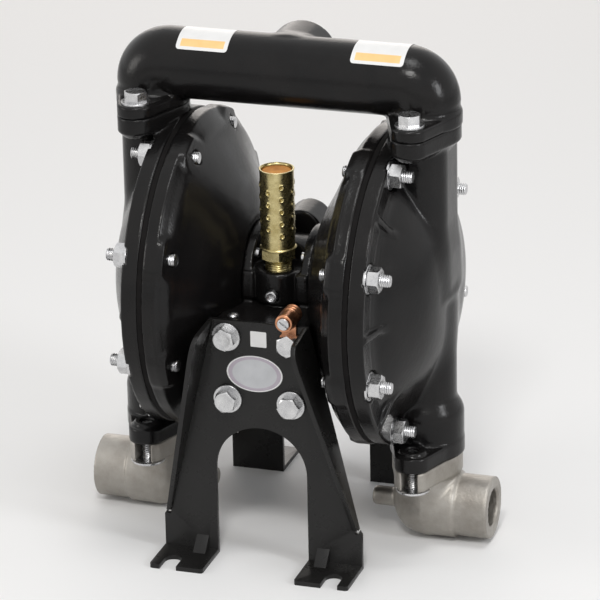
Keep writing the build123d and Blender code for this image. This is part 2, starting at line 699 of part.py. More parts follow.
for side, sign in SIDES:
    # rolled annulus between the clamped hub and the clamped rim
    with BuildPart() as diaphragm:
        inner = [
            (sign * DIAPHRAGM_IN_X, SHAFT_Z + ROLL_INNER_R + ROLL_TAPER),
            (sign * (DIAPHRAGM_IN_X + ROLL_X), SHAFT_Z + ROLL_MIDDLE_R),
            (sign * DIAPHRAGM_IN_X, SHAFT_Z + ROLL_OUTER_R - ROLL_TAPER),
        ]
        outer = [
            (sign * DIAPHRAGM_OUT_X, SHAFT_Z + ROLL_OUTER_R + ROLL_TAPER),
            (sign * (DIAPHRAGM_OUT_X + ROLL_X), SHAFT_Z + ROLL_MIDDLE_R),
            (sign * DIAPHRAGM_OUT_X, SHAFT_Z + ROLL_INNER_R - ROLL_TAPER),
        ]
        with BuildSketch(Plane.XZ):
            with BuildLine():
                Line((sign * DIAPHRAGM_IN_X, SHAFT_Z), inner[0])
                ThreePointArc(*inner)
                Polyline(
                    inner[-1],
                    (sign * DIAPHRAGM_IN_X, SHAFT_Z + DIAPHRAGM_R),
                    (sign * DIAPHRAGM_OUT_X, SHAFT_Z + DIAPHRAGM_R),
                    outer[0],
                )
                ThreePointArc(*outer)
                Polyline(
                    outer[-1],
                    (sign * DIAPHRAGM_OUT_X, SHAFT_Z),
                    (sign * DIAPHRAGM_IN_X, SHAFT_Z),
                )
            make_face()
        revolve(axis=SHAFT)
        with BuildSketch(Plane.YZ.offset(sign * DIAPHRAGM_IN_X)):
            with Locations((0, SHAFT_Z)):
                Circle(SCREW_BORE_R)
                with PolarLocations(STUD_CIRCLE_R, STUD_COUNT, start_angle=STUD_START):
                    Circle(CLEAR_R)
        extrude(amount=sign * (DIAPHRAGM_OUT_X - DIAPHRAGM_IN_X), mode=Mode.SUBTRACT)
    save(diaphragm.part, f"diaphragm_{side}")

    with BuildPart() as air_side_washer:
        with BuildSketch(Plane.XZ):
            with BuildLine():
                Polyline(
                    (sign * DIAPHRAGM_IN_X, SHAFT_Z + SCREW_BORE_R),
                    (sign * ROD_HALF, SHAFT_Z + SCREW_BORE_R),
                    (sign * ROD_HALF, SHAFT_Z + CLAMP_BACK_R),
                    (sign * (ROD_HALF + CLAMP_BACK_T), SHAFT_Z + CLAMP_R),
                    (sign * DIAPHRAGM_IN_X, SHAFT_Z + CLAMP_R),
                    close=True,
                )
            make_face()
        revolve(axis=SHAFT)
    save(air_side_washer.part, f"air_side_washer_{side}")

    with BuildPart() as fluid_side_washer:
        with BuildSketch(Plane.XZ):
            with BuildLine():
                Polyline(
                    (sign * DIAPHRAGM_OUT_X, SHAFT_Z + SCREW_BORE_R),
                    (sign * DIAPHRAGM_OUT_X, SHAFT_Z + CLAMP_R),
                    (sign * (DIAPHRAGM_OUT_X + CLAMP_RIM_T), SHAFT_Z + CLAMP_R),
                    (sign * CLAMP_OUT_X, SHAFT_Z + CLAMP_CONE_R),
                    (sign * CLAMP_OUT_X, SHAFT_Z + SCREW_BORE_R),
                    close=True,
                )
            make_face()
        revolve(axis=SHAFT)
    save(fluid_side_washer.part, f"fluid_side_washer_{side}")

    with BuildPart() as diaphragm_screw:
        with BuildSketch(Plane.YZ.offset(sign * CLAMP_OUT_X)):
            with Locations((0, SHAFT_Z)):
                RegularPolygon(SCREW_HEAD_AF / 2, 6, major_radius=False)
        extrude(amount=sign * SCREW_HEAD_T)
        with BuildSketch(Plane.YZ.offset(sign * CLAMP_OUT_X)):
            with Locations((0, SHAFT_Z)):
                Circle(SCREW_R)
        extrude(amount=-sign * SCREW_L)
    save(diaphragm_screw.part, f"diaphragm_screw_{side}")

    with BuildPart() as rod_bushing:
        with BuildSketch(Plane.YZ.offset(sign * (NECK_X - BUSH_L))):
            with Locations((0, SHAFT_Z)):
                Circle(BUSH_OUTER_R)
                Circle(BUSH_INNER_R, mode=Mode.SUBTRACT)
        extrude(amount=sign * BUSH_L)
    save(rod_bushing.part, f"rod_bushing_{side}")

    with BuildPart() as rod_seal:
        with BuildSketch(Plane.YZ.offset(sign * SEAL_X)):
            with Locations((0, SHAFT_Z)):
                Circle(BUSH_OUTER_R)
                Circle(BUSH_INNER_R + SEAL_PLAY, mode=Mode.SUBTRACT)
        extrude(amount=sign * SEAL_L)
    save(rod_seal.part, f"rod_seal_{side}")

# ---------------------------------------------------------------- air valve
with BuildPart() as pilot_rod:
    with BuildSketch(Plane.YZ.offset(-PILOT_HALF)):
        with Locations((0, PILOT_Z)):
            Circle(PILOT_R)
    extrude(amount=2 * PILOT_HALF)
    chamfer(pilot_rod.edges(), length=PILOT_EDGE)
save(pilot_rod.part, "pilot_rod")

with BuildPart() as valve_spool:
    with BuildSketch(Plane.YZ.offset(-SPOOL_HALF)):
        with Locations((VALVE_Y, VALVE_Z)):
            Circle(SPOOL_NECK_R)
    extrude(amount=2 * SPOOL_HALF)
    for land_x in LAND_XS:
        with BuildSketch(Plane.YZ.offset(land_x)):
            with Locations((VALVE_Y, VALVE_Z)):
                Circle(LAND_R)
        extrude(amount=LAND_L)
save(valve_spool.part, "valve_spool")

with BuildPart() as valve_plugs:
    for _, sign in SIDES:
        with BuildSketch(Plane.YZ.offset(sign * PLUG_IN_X)):
            with Locations((VALVE_Y, VALVE_Z)):
                Circle(LAND_R)
        extrude(amount=sign * (PLUG_OUT_X - PLUG_IN_X))
save(valve_plugs.part, "valve_plugs")

# ---------------------------------------------------------------- check valves
BALL_SITES = (
    ("outlet", UPPER_JOINT_Z),
    ("inlet", LOWER_JOINT_Z),
)
for level, joint_z in BALL_SITES:
    for side, sign in SIDES:
        with BuildPart() as ball:
            with Locations((sign * COLUMN_X, 0, joint_z + SEAT_H + BALL_RISE)):
                Sphere(BALL_R)
        save(ball.part, f"{level}_ball_{side}")

        with BuildPart() as seat:
            with BuildSketch(Plane.XZ):
                with BuildLine():
                    Polyline(
                        (sign * COLUMN_X + SEAT_HOLE_R, joint_z),
                        (sign * COLUMN_X + SEAT_R, joint_z),
                        (sign * COLUMN_X + SEAT_R, joint_z + SEAL_GROOVE[0]),
                        (sign * COLUMN_X + SEAL_GROOVE_R, joint_z + SEAL_GROOVE[0]),
                        (sign * COLUMN_X + SEAL_GROOVE_R, joint_z + SEAL_GROOVE[1]),
                        (sign * COLUMN_X + SEAT_R, joint_z + SEAL_GROOVE[1]),
                        (sign * COLUMN_X + SEAT_R, joint_z + SEAT_H),
                        (sign * COLUMN_X + SEAT_HOLE_R, joint_z + SEAT_H),
                        close=True,
                    )
                make_face()
            revolve(axis=Axis((sign * COLUMN_X, 0, 0), (0, 0, 1)))
        save(seat.part, f"{level}_seat_{side}")

with BuildPart() as seat_seals:
    for _, joint_z in BALL_SITES:
        for _, sign in SIDES:
            with Locations((sign * COLUMN_X, 0, joint_z + SEAT_H / 2)):
                Torus(SEAL_RING_R, SEAL_R)
save(seat_seals.part, "seat_seals")

# ---------------------------------------------------------------- outlet manifold
with BuildPart() as outlet_manifold:
    with BuildSketch(Plane.YZ.offset(-COLUMN_X)):
        with Locations((0, TUBE_Z)):
            Circle(TUBE_R)
    extrude(amount=2 * COLUMN_X)
    with Locations((-COLUMN_X, 0, TUBE_Z), (COLUMN_X, 0, TUBE_Z)):
        Sphere(TUBE_R)
    for _, sign in SIDES:
        with BuildSketch(Plane.XY.offset(UPPER_JOINT_Z)):
            with Locations((sign * COLUMN_X, 0)):
                Circle(MANIFOLD_COLUMN_R)
        extrude(amount=TUBE_Z - UPPER_JOINT_Z)
    with BuildSketch(Plane.XY.offset(UPPER_JOINT_Z)):
        add(lens())
        mirror(about=Plane.YZ)
    extrude(amount=MANIFOLD_FLANGE_TOP_Z - UPPER_JOINT_Z)
    with BuildSketch(Plane.XZ.offset(-OUTLET_Y)):
        with Locations((0, TUBE_Z)):
            Circle(OUTLET_BOSS_R)
    extrude(amount=OUTLET_Y)
    # ball chambers, seat recesses and the cross bore
    with BuildSketch(Plane.XY.offset(UPPER_JOINT_Z + SEAT_H)):
        add(ball_chamber())
        mirror(about=Plane.YZ)
    extrude(amount=CHAMBER_H, mode=Mode.SUBTRACT)
    with BuildSketch(Plane.XY.offset(UPPER_JOINT_Z)):
        with Locations((-COLUMN_X, 0), (COLUMN_X, 0)):
            Circle(SEAT_R + SEAT_FIT)
    extrude(amount=SEAT_H, mode=Mode.SUBTRACT)
    with BuildSketch(Plane.YZ.offset(-COLUMN_X)):
        with Locations((0, TUBE_Z)):
            Circle(TUBE_BORE_R)
    extrude(amount=2 * COLUMN_X, mode=Mode.SUBTRACT)
    with BuildSketch(Plane.XZ.offset(-OUTLET_Y)):
        with Locations((0, TUBE_Z)):
            Circle(OUTLET_THREAD_R)
    extrude(amount=OUTLET_THREAD_L, mode=Mode.SUBTRACT)
    with BuildSketch(Plane.XZ.offset(-OUTLET_Y)):
        with Locations((0, TUBE_Z)):
            Circle(OUTLET_PASSAGE_R)
    extrude(amount=OUTLET_Y, mode=Mode.SUBTRACT)
    with BuildSketch(Plane.XY.offset(UPPER_JOINT_Z)):
        with Locations(*EAR_SITES):
            Circle(CLEAR_R)
    extrude(amount=MANIFOLD_FLANGE_TOP_Z - UPPER_JOINT_Z, mode=Mode.SUBTRACT)
save(outlet_manifold.part, "outlet_manifold")

# ---------------------------------------------------------------- inlet elbows
with BuildPart() as inlet_elbow:
    with BuildSketch(Plane.XY.offset(EAR_BOTTOM_Z)):
        add(lens(-EAR_INSET))
    extrude(amount=LOWER_JOINT_Z - EAR_BOTTOM_Z)
    with BuildSketch(Plane.XY.offset(ELBOW_Z)):
        with Locations((COLUMN_X, 0)):
            Circle(ELBOW_BODY_R)
    extrude(amount=LOWER_JOINT_Z - ELBOW_Z)
    with Locations((COLUMN_X, 0, ELBOW_Z)):
        Sphere(COLLAR_R)
    with BuildSketch(Plane.YZ.offset(COLUMN_X)):
        with Locations((0, ELBOW_Z)):
            Circle(COLLAR_R)
    extrude(amount=COLLAR_X - COLUMN_X)
    with BuildSketch(Plane.YZ.offset(COLUMN_X)):
        with Locations((0, ELBOW_Z)):
            Circle(PORT_R)
    extrude(amount=PORT_X - COLUMN_X)
    with BuildSketch(Plane.YZ.offset(STUB_END_X)):
        with Locations((0, ELBOW_Z)):
            Circle(STUB_R)
    extrude(amount=COLUMN_X - STUB_END_X)
    fillet(inlet_elbow.faces().sort_by(Axis.X)[0].edges(), radius=STUB_EDGE_R)
    # open slots for the clamp bolts
    for sign in (-1, 1):
        with BuildSketch(Plane.XY.offset(EAR_BOTTOM_Z)):
            with Locations((COLUMN_X, sign * EAR_Y)):
                Circle(SLOT_R)
            with Locations((COLUMN_X, sign * (EAR_Y + EAR_R / 2 + 1))):
                Rectangle(2 * SLOT_R, EAR_R + 2)
        extrude(amount=LOWER_JOINT_Z - EAR_BOTTOM_Z, mode=Mode.SUBTRACT)
    # passage and tapped port
    with BuildSketch(Plane.XY.offset(ELBOW_Z)):
        with Locations((COLUMN_X, 0)):
            Circle(COLUMN_BORE_R)
    extrude(amount=LOWER_JOINT_Z - ELBOW_Z, mode=Mode.SUBTRACT)
    with BuildSketch(Plane.YZ.offset(PORT_X)):
        with Locations((0, ELBOW_Z)):
            Circle(INLET_THREAD_R)
    extrude(amount=-INLET_THREAD_L, mode=Mode.SUBTRACT)
    with BuildSketch(Plane.YZ.offset(INLET_PASSAGE_X)):
        with Locations((0, ELBOW_Z)):
            Circle(INLET_PASSAGE_R)
    extrude(amount=PORT_X - INLET_PASSAGE_X, mode=Mode.SUBTRACT)
save(inlet_elbow.part, "inlet_elbow_right")
save(half_turn(inlet_elbow.part), "inlet_elbow_left")

# ---------------------------------------------------------------- stands
WING_SLOPE = 0.233
WING_MID_X = 43.5
WING_MID_Z = 111.8
WING_TOP_Y = 99.0
WING_FOOT_Y = 70.9
WING_TOP_Z = 158.2
WING_CORNER = ((9.0, WING_TOP_Z), (2.6, 155.6), (0.2, 149.0))
WING_BACK = (0.6, 144.0)
SHOULDER_X = 31.5
LEG_BEND_DROP = 3.0
FOOT_X = (LEG_INNER_X + LEG_X) / 2
FOOT_W = LEG_X - LEG_INNER_X
FOOT_CORNER_R = 2.0
SLOT_Y = SLOT_END_Y + SLOT_W / 2
DIMPLE_X = 40.0
DIMPLE_W = 8.0
DIMPLE_OUTLINE = ((-66, 1), (-77, 1), (-77, 3), (-68, 12), (-66, 12))
NOTCH = (2.6, 3.2, 2.8)
NOTCH_X = 62.3
NOTCH_Z = 25.8


def wing_x(z):
    """Distance of the slanted side edge from the middle, at a height."""
    return WING_MID_X + WING_SLOPE * (WING_MID_Z - z)


# side wing, bent forward along the slanted edge: its slab trimmed to the side outline
with BuildPart() as wing_build:
    with BuildSketch(Plane.XZ.offset(PLATE_Y)):
        Polygon(
            (wing_x(BEND_END_Z), BEND_END_Z),
            (wing_x(STAND_TOP_Z), STAND_TOP_Z),
            (wing_x(STAND_TOP_Z) - SHEET, STAND_TOP_Z),
            (wing_x(BEND_END_Z) - SHEET, BEND_END_Z),
            align=None,
        )
    extrude(amount=WING_TOP_Y - PLATE_Y)
    with BuildSketch(Plane.YZ):
        with BuildLine():
            corner = [(inset - WING_TOP_Y, z) for inset, z in WING_CORNER]
            Polyline(
                corner[-1],
                (WING_BACK[0] - WING_TOP_Y, WING_BACK[1]),
                (-WING_FOOT_Y, BEND_END_Z + 1),
                (-PLATE_Y, BEND_END_Z + 1),
                (-PLATE_Y, STAND_TOP_Z),
                corner[0],
            )
            ThreePointArc(*corner)
        make_face()
    extrude(amount=LEG_X + SHEET, mode=Mode.INTERSECT)
wing = wing_build.part

with BuildPart() as stand:
    with BuildSketch(Plane.XZ.offset(PLATE_Y)):
        with BuildLine():
            Polyline(
                (-SHOULDER_X, STAND_TOP_Z),
                (SHOULDER_X, STAND_TOP_Z),
                (wing_x(BEND_END_Z), BEND_END_Z),
                (LEG_X, BEND_END_Z - LEG_BEND_DROP),
                (LEG_X, 0),
                (LEG_INNER_X, 0),
                (LEG_INNER_X, ARCH_Z),
            )
            ThreePointArc((LEG_INNER_X, ARCH_Z), (0, ARCH_Z + LEG_INNER_X), (-LEG_INNER_X, ARCH_Z))
            Polyline(
                (-LEG_INNER_X, ARCH_Z),
                (-LEG_INNER_X, 0),
                (-LEG_X, 0),
                (-LEG_X, BEND_END_Z - LEG_BEND_DROP),
                (-wing_x(BEND_END_Z), BEND_END_Z),
                (-SHOULDER_X, STAND_TOP_Z),
            )
        make_face()
        with Locations(*STAND_BOLT_SITES):
            Circle(CLEAR_R, mode=Mode.SUBTRACT)
    extrude(amount=SHEET)
    for sign in (-1, 1):
        add(wing if sign > 0 else mirror(wing, about=Plane.YZ))
        # foot, bent forward, with its open slot and stiffening dimple
        with BuildSketch(Plane.XY):
            with Locations((sign * FOOT_X, -(PLATE_Y + FOOT_Y) / 2)):
                RectangleRounded(FOOT_W, FOOT_Y - PLATE_Y, FOOT_CORNER_R)
            with Locations((sign * FOOT_X, -PLATE_Y - SHEET)):
                Rectangle(FOOT_W, 2 * SHEET)
            with Locations((sign * SLOT_X, -SLOT_Y)):
                Circle(SLOT_W / 2, mode=Mode.SUBTRACT)
            with Locations((sign * SLOT_X, -SLOT_Y - SLOT_W)):
                Rectangle(SLOT_W, 2 * SLOT_W, mode=Mode.SUBTRACT)
        extrude(amount=SHEET)
        with BuildSketch(Plane.YZ.offset(sign * DIMPLE_X - DIMPLE_W / 2)):
            Polygon(*DIMPLE_OUTLINE, align=None)
        extrude(amount=DIMPLE_W)
        # relief notch where the wing bend ends
        with Locations((sign * NOTCH_X, -PLATE_Y - SHEET / 2, NOTCH_Z)):
            Box(*NOTCH, mode=Mode.SUBTRACT)
save(stand.part, "stand_front")
save(mirror(stand.part, about=Plane.XZ), "stand_rear")

# ---------------------------------------------------------------- fasteners
OUTLET_BOLT_L = 22.0
INLET_BOLT_L = 24.0
CLAMP_HEAD_R = 11.0
CLAMP_HEAD_H = 2.4
CLAMP_CROWN_R = 8.0
CLAMP_CROWN_H = 1.2

with BuildPart() as flange_studs:
    for _, sign in SIDES:
        with BuildSketch(Plane.YZ.offset(sign * STUB_X)):
            with Locations((0, SHAFT_Z)):
                with PolarLocations(STUD_CIRCLE_R, STUD_COUNT, start_angle=STUD_START):
                    Circle(STUD_R)
        extrude(amount=sign * (STUD_END_X - STUB_X))
save(flange_studs.part, "flange_studs")

with BuildPart() as flange_washers:
    for _, sign in SIDES:
        with BuildSketch(Plane.YZ.offset(sign * SPOT_FACE_X)):
            with Locations((0, SHAFT_Z)):
                with PolarLocations(STUD_CIRCLE_R, STUD_COUNT, start_angle=STUD_START):
                    Circle(WASHER_R)
                    Circle(STUD_R + WASHER_PLAY, mode=Mode.SUBTRACT)
        extrude(amount=sign * WASHER_T)
save(flange_washers.part, "flange_washers")

with BuildPart() as flange_nuts:
    for _, sign in SIDES:
        with BuildSketch(Plane.YZ.offset(sign * (SPOT_FACE_X + WASHER_T))):
            with Locations((0, SHAFT_Z)):
                with PolarLocations(STUD_CIRCLE_R, STUD_COUNT, start_angle=STUD_START):
                    RegularPolygon(NUT_AF / 2, 6, major_radius=False)
                    Circle(STUD_R + THREAD_PLAY, mode=Mode.SUBTRACT)
        extrude(amount=sign * NUT_H)
save(flange_nuts.part, "flange_nuts")

with BuildPart() as outlet_washers:
    with BuildSketch(Plane.XY.offset(MANIFOLD_FLANGE_TOP_Z)):
        with Locations(*EAR_SITES):
            Circle(WASHER_R)
            Circle(STUD_R + WASHER_PLAY, mode=Mode.SUBTRACT)
    extrude(amount=WASHER_T)
save(outlet_washers.part, "outlet_washers")

with BuildPart() as outlet_bolts:
    with BuildSketch(Plane.XY.offset(MANIFOLD_FLANGE_TOP_Z + WASHER_T)):
        with Locations(*EAR_SITES):
            RegularPolygon(BOLT_HEAD_AF / 2, 6, major_radius=False)
    extrude(amount=BOLT_HEAD_H)
    with BuildSketch(Plane.XY.offset(MANIFOLD_FLANGE_TOP_Z + WASHER_T)):
        with Locations(*EAR_SITES):
            Circle(STUD_R)
    extrude(amount=-OUTLET_BOLT_L)
save(outlet_bolts.part, "outlet_bolts")

with BuildPart() as inlet_bolts:
    with BuildSketch(Plane.XY.offset(EAR_BOTTOM_Z)):
        with Locations(*EAR_SITES):
            Circle(CLAMP_HEAD_R)
    extrude(amount=-CLAMP_HEAD_H)
    with BuildSketch(Plane.XY.offset(EAR_BOTTOM_Z - CLAMP_HEAD_H)):
        with Locations(*EAR_SITES):
            Circle(CLAMP_CROWN_R)
    extrude(amount=-CLAMP_CROWN_H)
    with BuildSketch(Plane.XY.offset(EAR_BOTTOM_Z)):
        with Locations(*EAR_SITES):
            Circle(STUD_R)
    extrude(amount=INLET_BOLT_L)
save(inlet_bolts.part, "inlet_bolts")

LUG_SITE = (STAND_BOLT_X, STAND_BOLT_ZS[1])

with BuildPart() as stand_washers:
    for sign in (-1, 1):
        sites = [site for site in STAND_BOLT_SITES if sign < 0 or site != LUG_SITE]
        with BuildSketch(Plane.XZ.offset(sign * (PLATE_Y + SHEET))):
            with Locations(*sites):
                Circle(WASHER_R)
                Circle(STUD_R + WASHER_PLAY, mode=Mode.SUBTRACT)
        extrude(amount=sign * WASHER_T)
save(stand_washers.part, "stand_washers")

with BuildPart() as stand_bolts:
    for sign in (-1, 1):
        with BuildSketch(Plane.XZ.offset(sign * (PLATE_Y + SHEET + WASHER_T))):
            with Locations(*STAND_BOLT_SITES):
                RegularPolygon(BOLT_HEAD_AF / 2, 6, major_radius=False)
        extrude(amount=sign * BOLT_HEAD_H)
        with BuildSketch(Plane.XZ.offset(sign * (PLATE_Y + SHEET + WASHER_T))):
            with Locations(*STAND_BOLT_SITES):
                Circle(STUD_R)
        extrude(amount=-sign * STAND_BOLT_L)
save(stand_bolts.part, "stand_bolts")

PLUG_STANDS_OUT = 2.2
PLUG_L = 7.5
PLUG_KEY_AF = 4.8
PLUG_KEY_L = 3.0
PAN_HEAD_R = 3.6
PAN_HEAD_H = 2.4
PAN_SHANK_R = 1.97
PAN_SHANK_L = 4.4

with BuildPart() as socket_plug:
    with BuildSketch(Plane.XZ.offset(-MUFFLER_Y + BOSS_R + PLUG_STANDS_OUT)):
        with Locations((0, PLUG_Z)):
            Circle(STUD_R)
    extrude(amount=-PLUG_L)
    with BuildSketch(Plane.XZ.offset(-MUFFLER_Y + BOSS_R + PLUG_STANDS_OUT)):
        with Locations((0, PLUG_Z)):
            RegularPolygon(PLUG_KEY_AF / 2, 6, major_radius=False)
    extrude(amount=-PLUG_KEY_L, mode=Mode.SUBTRACT)
save(socket_plug.part, "socket_plug")

with BuildPart() as cover_screw:
    with BuildSketch(Plane.XY.offset(BLOCK_TOP_Z)):
        with Locations(PAN_SITE):
            Circle(PAN_HEAD_R)
    extrude(amount=PAN_HEAD_H)
    with BuildSketch(Plane.XY.offset(BLOCK_TOP_Z)):
        with Locations(PAN_SITE):
            Circle(PAN_SHANK_R)
    extrude(amount=-PAN_SHANK_L)
save(cover_screw.part, "cover_screw")

# ---------------------------------------------------------------- exhaust silencer
FITTING_BOTTOM_Z = 170.0
FITTING_THREAD_R = 8.55
FITTING_HEX_Z = 188.0
FITTING_HEX_AF = 20.6
FITTING_HEX_TOP_Z = 195.0
COLLAR_EDGE_R = CAN_R + 1.0
COLLAR_BOTTOM_Z = 194.6
SPIGOT_R = CAN_R - 0.9
SPIGOT_TOP_Z = 200.0
SILENCER_BORE_R = 5.0
CAN_WALL = 0.85
RIM_R = 0.8
RIM_MIDDLE_R = CAN_R - 0.3
HOLE_R = 1.7
HOLE_COLUMNS = 8
HOLE_ROWS = 5
HOLE_PITCH = 8.3
HOLE_FIRST_Z = 204.0
ELEMENT_R = CAN_R - 1.0
ELEMENT_BORE_R = 6.2
ELEMENT_TOP_Z = 243.0
ELEMENT_CAP_R = 7.0
ELEMENT_CAP_Z = 236.0
ELEMENT_CAP_H = 4.0

with BuildPart() as muffler_fitting:
    with BuildSketch(Plane.XY.offset(FITTING_BOTTOM_Z)):
        with Locations((0, MUFFLER_Y)):
            Circle(FITTING_THREAD_R)
    extrude(amount=FITTING_HEX_Z - FITTING_BOTTOM_Z)
    with BuildSketch(Plane.XY.offset(FITTING_HEX_Z)):
        with Locations((0, MUFFLER_Y)):
            RegularPolygon(FITTING_HEX_AF / 2, 6, major_radius=False)
    extrude(amount=FITTING_HEX_TOP_Z - FITTING_HEX_Z)
    with BuildSketch(Plane.XY.offset(COLLAR_BOTTOM_Z)):
        with Locations((0, MUFFLER_Y)):
            Circle(COLLAR_EDGE_R)
    extrude(amount=CAN_BOTTOM_Z - COLLAR_BOTTOM_Z)
    with BuildSketch(Plane.XY.offset(FITTING_HEX_TOP_Z)):
        with Locations((0, MUFFLER_Y)):
            Circle(SPIGOT_R)
    extrude(amount=SPIGOT_TOP_Z - FITTING_HEX_TOP_Z)
    with BuildSketch(Plane.XY.offset(FITTING_BOTTOM_Z)):
        with Locations((0, MUFFLER_Y)):
            Circle(SILENCER_BORE_R)
    extrude(amount=SPIGOT_TOP_Z - FITTING_BOTTOM_Z, mode=Mode.SUBTRACT)
save(muffler_fitting.part, "muffler_fitting")

with BuildPart() as muffler_can:
    with BuildSketch(Plane.XY.offset(CAN_BOTTOM_Z)):
        with Locations((0, MUFFLER_Y)):
            Circle(CAN_R)
            Circle(CAN_R - CAN_WALL, mode=Mode.SUBTRACT)
    extrude(amount=CAN_TOP_Z - RIM_R - CAN_BOTTOM_Z)
    with Locations((0, MUFFLER_Y, CAN_TOP_Z - RIM_R)):
        Torus(RIM_MIDDLE_R, RIM_R)
    # punched holes, every second column half a pitch higher
    for column in range(HOLE_COLUMNS):
        odd = column % 2
        angle = radians(360 / HOLE_COLUMNS * column - 90)
        hole_plane = Plane(
            origin=(0, MUFFLER_Y, 0),
            x_dir=(-sin(angle), cos(angle), 0),
            z_dir=(cos(angle), sin(angle), 0),
        )
        heights = [HOLE_FIRST_Z + HOLE_PITCH * (row + odd / 2) for row in range(HOLE_ROWS - odd)]
        with BuildSketch(hole_plane):
            with Locations(*[(0, z) for z in heights]):
                Circle(HOLE_R)
        extrude(amount=CAN_R + 1, mode=Mode.SUBTRACT)
save(muffler_can.part, "muffler_can")

with BuildPart() as muffler_element:
    with BuildSketch(Plane.XY.offset(SPIGOT_TOP_Z)):
        with Locations((0, MUFFLER_Y)):
            Circle(ELEMENT_R)
            Circle(ELEMENT_BORE_R, mode=Mode.SUBTRACT)
    extrude(amount=ELEMENT_TOP_Z - SPIGOT_TOP_Z)
    with BuildSketch(Plane.XY.offset(ELEMENT_CAP_Z)):
        with Locations((0, MUFFLER_Y)):
            Circle(ELEMENT_CAP_R)
    extrude(amount=ELEMENT_CAP_H)
save(muffler_element.part, "muffler_element")

# ---------------------------------------------------------------- ground lug
LUG_Z = 166.2
LUG_R = 6.0
LUG_Y = 60.0
LUG_L = 20.0
STRAP_R = 7.6
STRAP_W = 9.0
STRAP_OVERLAP = 2.0
WIRE_Y = 72.0
WIRE_R = 3.9
GROOVE_YS = (63.0, 66.4)
GROOVE_W = 1.2
GROOVE_L = 0.7
LUG_SCREW_R = 3.86
LUG_SCREW_Y = 72.2
LUG_SCREW_L = 9.0
LUG_SLOT_Y = 79.6
LUG_SLOT_W = 1.1
LUG_SLOT_L = 9.0
LUG_SLOT_TURN = 35.0

with BuildPart() as ground_lug:
    with BuildSketch(Plane.XZ.offset(PLATE_Y + SHEET)):
        with Locations(LUG_SITE):
            Circle(STRAP_R)
        with Locations((LUG_SITE[0], (LUG_SITE[1] + LUG_Z - STRAP_OVERLAP) / 2)):
            Rectangle(STRAP_W, LUG_Z - LUG_SITE[1] - STRAP_OVERLAP)
        with Locations(LUG_SITE):
            Circle(STUD_R + WASHER_PLAY, mode=Mode.SUBTRACT)
    extrude(amount=WASHER_T)
    with BuildSketch(Plane.XZ.offset(LUG_Y)):
        with Locations((LUG_SITE[0], LUG_Z)):
            Circle(LUG_R)
    extrude(amount=LUG_L)
    with BuildSketch(Plane.XZ.offset(WIRE_Y)):
        with Locations((LUG_SITE[0], LUG_Z)):
            Circle(WIRE_R)
    extrude(amount=LUG_Y + LUG_L - WIRE_Y, mode=Mode.SUBTRACT)
    for groove_y in GROOVE_YS:
        with BuildSketch(Plane.XZ.offset(groove_y)):
            with Locations((LUG_SITE[0], LUG_Z)):
                Circle(LUG_R + 1)
                Circle(LUG_R - GROOVE_L, mode=Mode.SUBTRACT)
        extrude(amount=GROOVE_W, mode=Mode.SUBTRACT)
save(ground_lug.part, "ground_lug")

with BuildPart() as ground_lug_screw:
    with BuildSketch(Plane.XZ.offset(LUG_SCREW_Y)):
        with Locations((LUG_SITE[0], LUG_Z)):
            Circle(LUG_SCREW_R)
    extrude(amount=LUG_SCREW_L)
    with BuildSketch(Plane.XZ.offset(LUG_SLOT_Y)):
        with Locations((LUG_SITE[0], LUG_Z)):
            Rectangle(LUG_SLOT_L, LUG_SLOT_W, rotation=LUG_SLOT_TURN)
    extrude(amount=LUG_SCREW_Y + LUG_SCREW_L - LUG_SLOT_Y + 1, mode=Mode.SUBTRACT)
save(ground_lug_screw.part, "ground_lug_screw")
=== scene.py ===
import json
import math

import bmesh
import bpy
import numpy as np
from mathutils import Matrix, Vector


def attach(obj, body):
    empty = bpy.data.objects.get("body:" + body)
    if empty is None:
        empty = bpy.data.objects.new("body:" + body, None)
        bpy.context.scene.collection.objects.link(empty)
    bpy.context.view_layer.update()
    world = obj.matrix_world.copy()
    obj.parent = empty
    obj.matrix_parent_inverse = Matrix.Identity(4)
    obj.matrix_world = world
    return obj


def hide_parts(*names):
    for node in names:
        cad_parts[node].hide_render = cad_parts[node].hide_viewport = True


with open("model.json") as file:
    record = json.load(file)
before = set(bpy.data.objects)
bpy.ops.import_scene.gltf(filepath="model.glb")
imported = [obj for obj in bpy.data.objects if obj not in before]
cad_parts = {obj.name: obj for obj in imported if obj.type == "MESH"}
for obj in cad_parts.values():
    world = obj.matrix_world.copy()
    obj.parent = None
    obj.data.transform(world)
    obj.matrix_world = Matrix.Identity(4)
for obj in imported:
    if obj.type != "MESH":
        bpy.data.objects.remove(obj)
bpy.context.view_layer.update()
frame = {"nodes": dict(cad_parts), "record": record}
NODES = frame["nodes"]

# ------------------------------------------------------------ layout, millimetres
SHAFT_Z = 168.0
COLUMN_X = 88.5
FLANGE_R = 100.75
STUD_CIRCLE_R = 91.5
STUD_ANGLES = [math.radians(22.5 + 45 * k) for k in range(8)]
EAR_Y = 32.5
EAR_R = 11.75
JOINT_R = 22.8
ELBOW_EAR_Z = 45.0
ELBOW_JOINT_Z = 58.0
MANIFOLD_JOINT_Z = 276.8
MANIFOLD_EAR_Z = 284.5
TUBE_Z = 302.3
TUBE_R = 22.45
INLET_Z = 21.65
PORT_END_X = 131.8
COLUMN_BORE_R = 13.5
BOLT_HOLE_R = 4.6
MUFFLER_Y = -24.7
STAND_FACE_Y = 68.0
MM = 0.001
SHELL_STEP = 1.15


# ------------------------------------------------------------ distance fields
def smin(a, b, k):
    """The lower of two fields, blended over the distance k."""
    h = np.maximum(k - np.abs(a - b), 0.0) / k
    return np.minimum(a, b) - h * h * k * 0.25


def smax(a, b, k):
    """The higher of two fields, blended over the distance k."""
    return -smin(-a, -b, k)


def slab(v, lo, hi):
    """Distance to the space between two planes."""
    return np.abs(v - (lo + hi) / 2) - (hi - lo) / 2


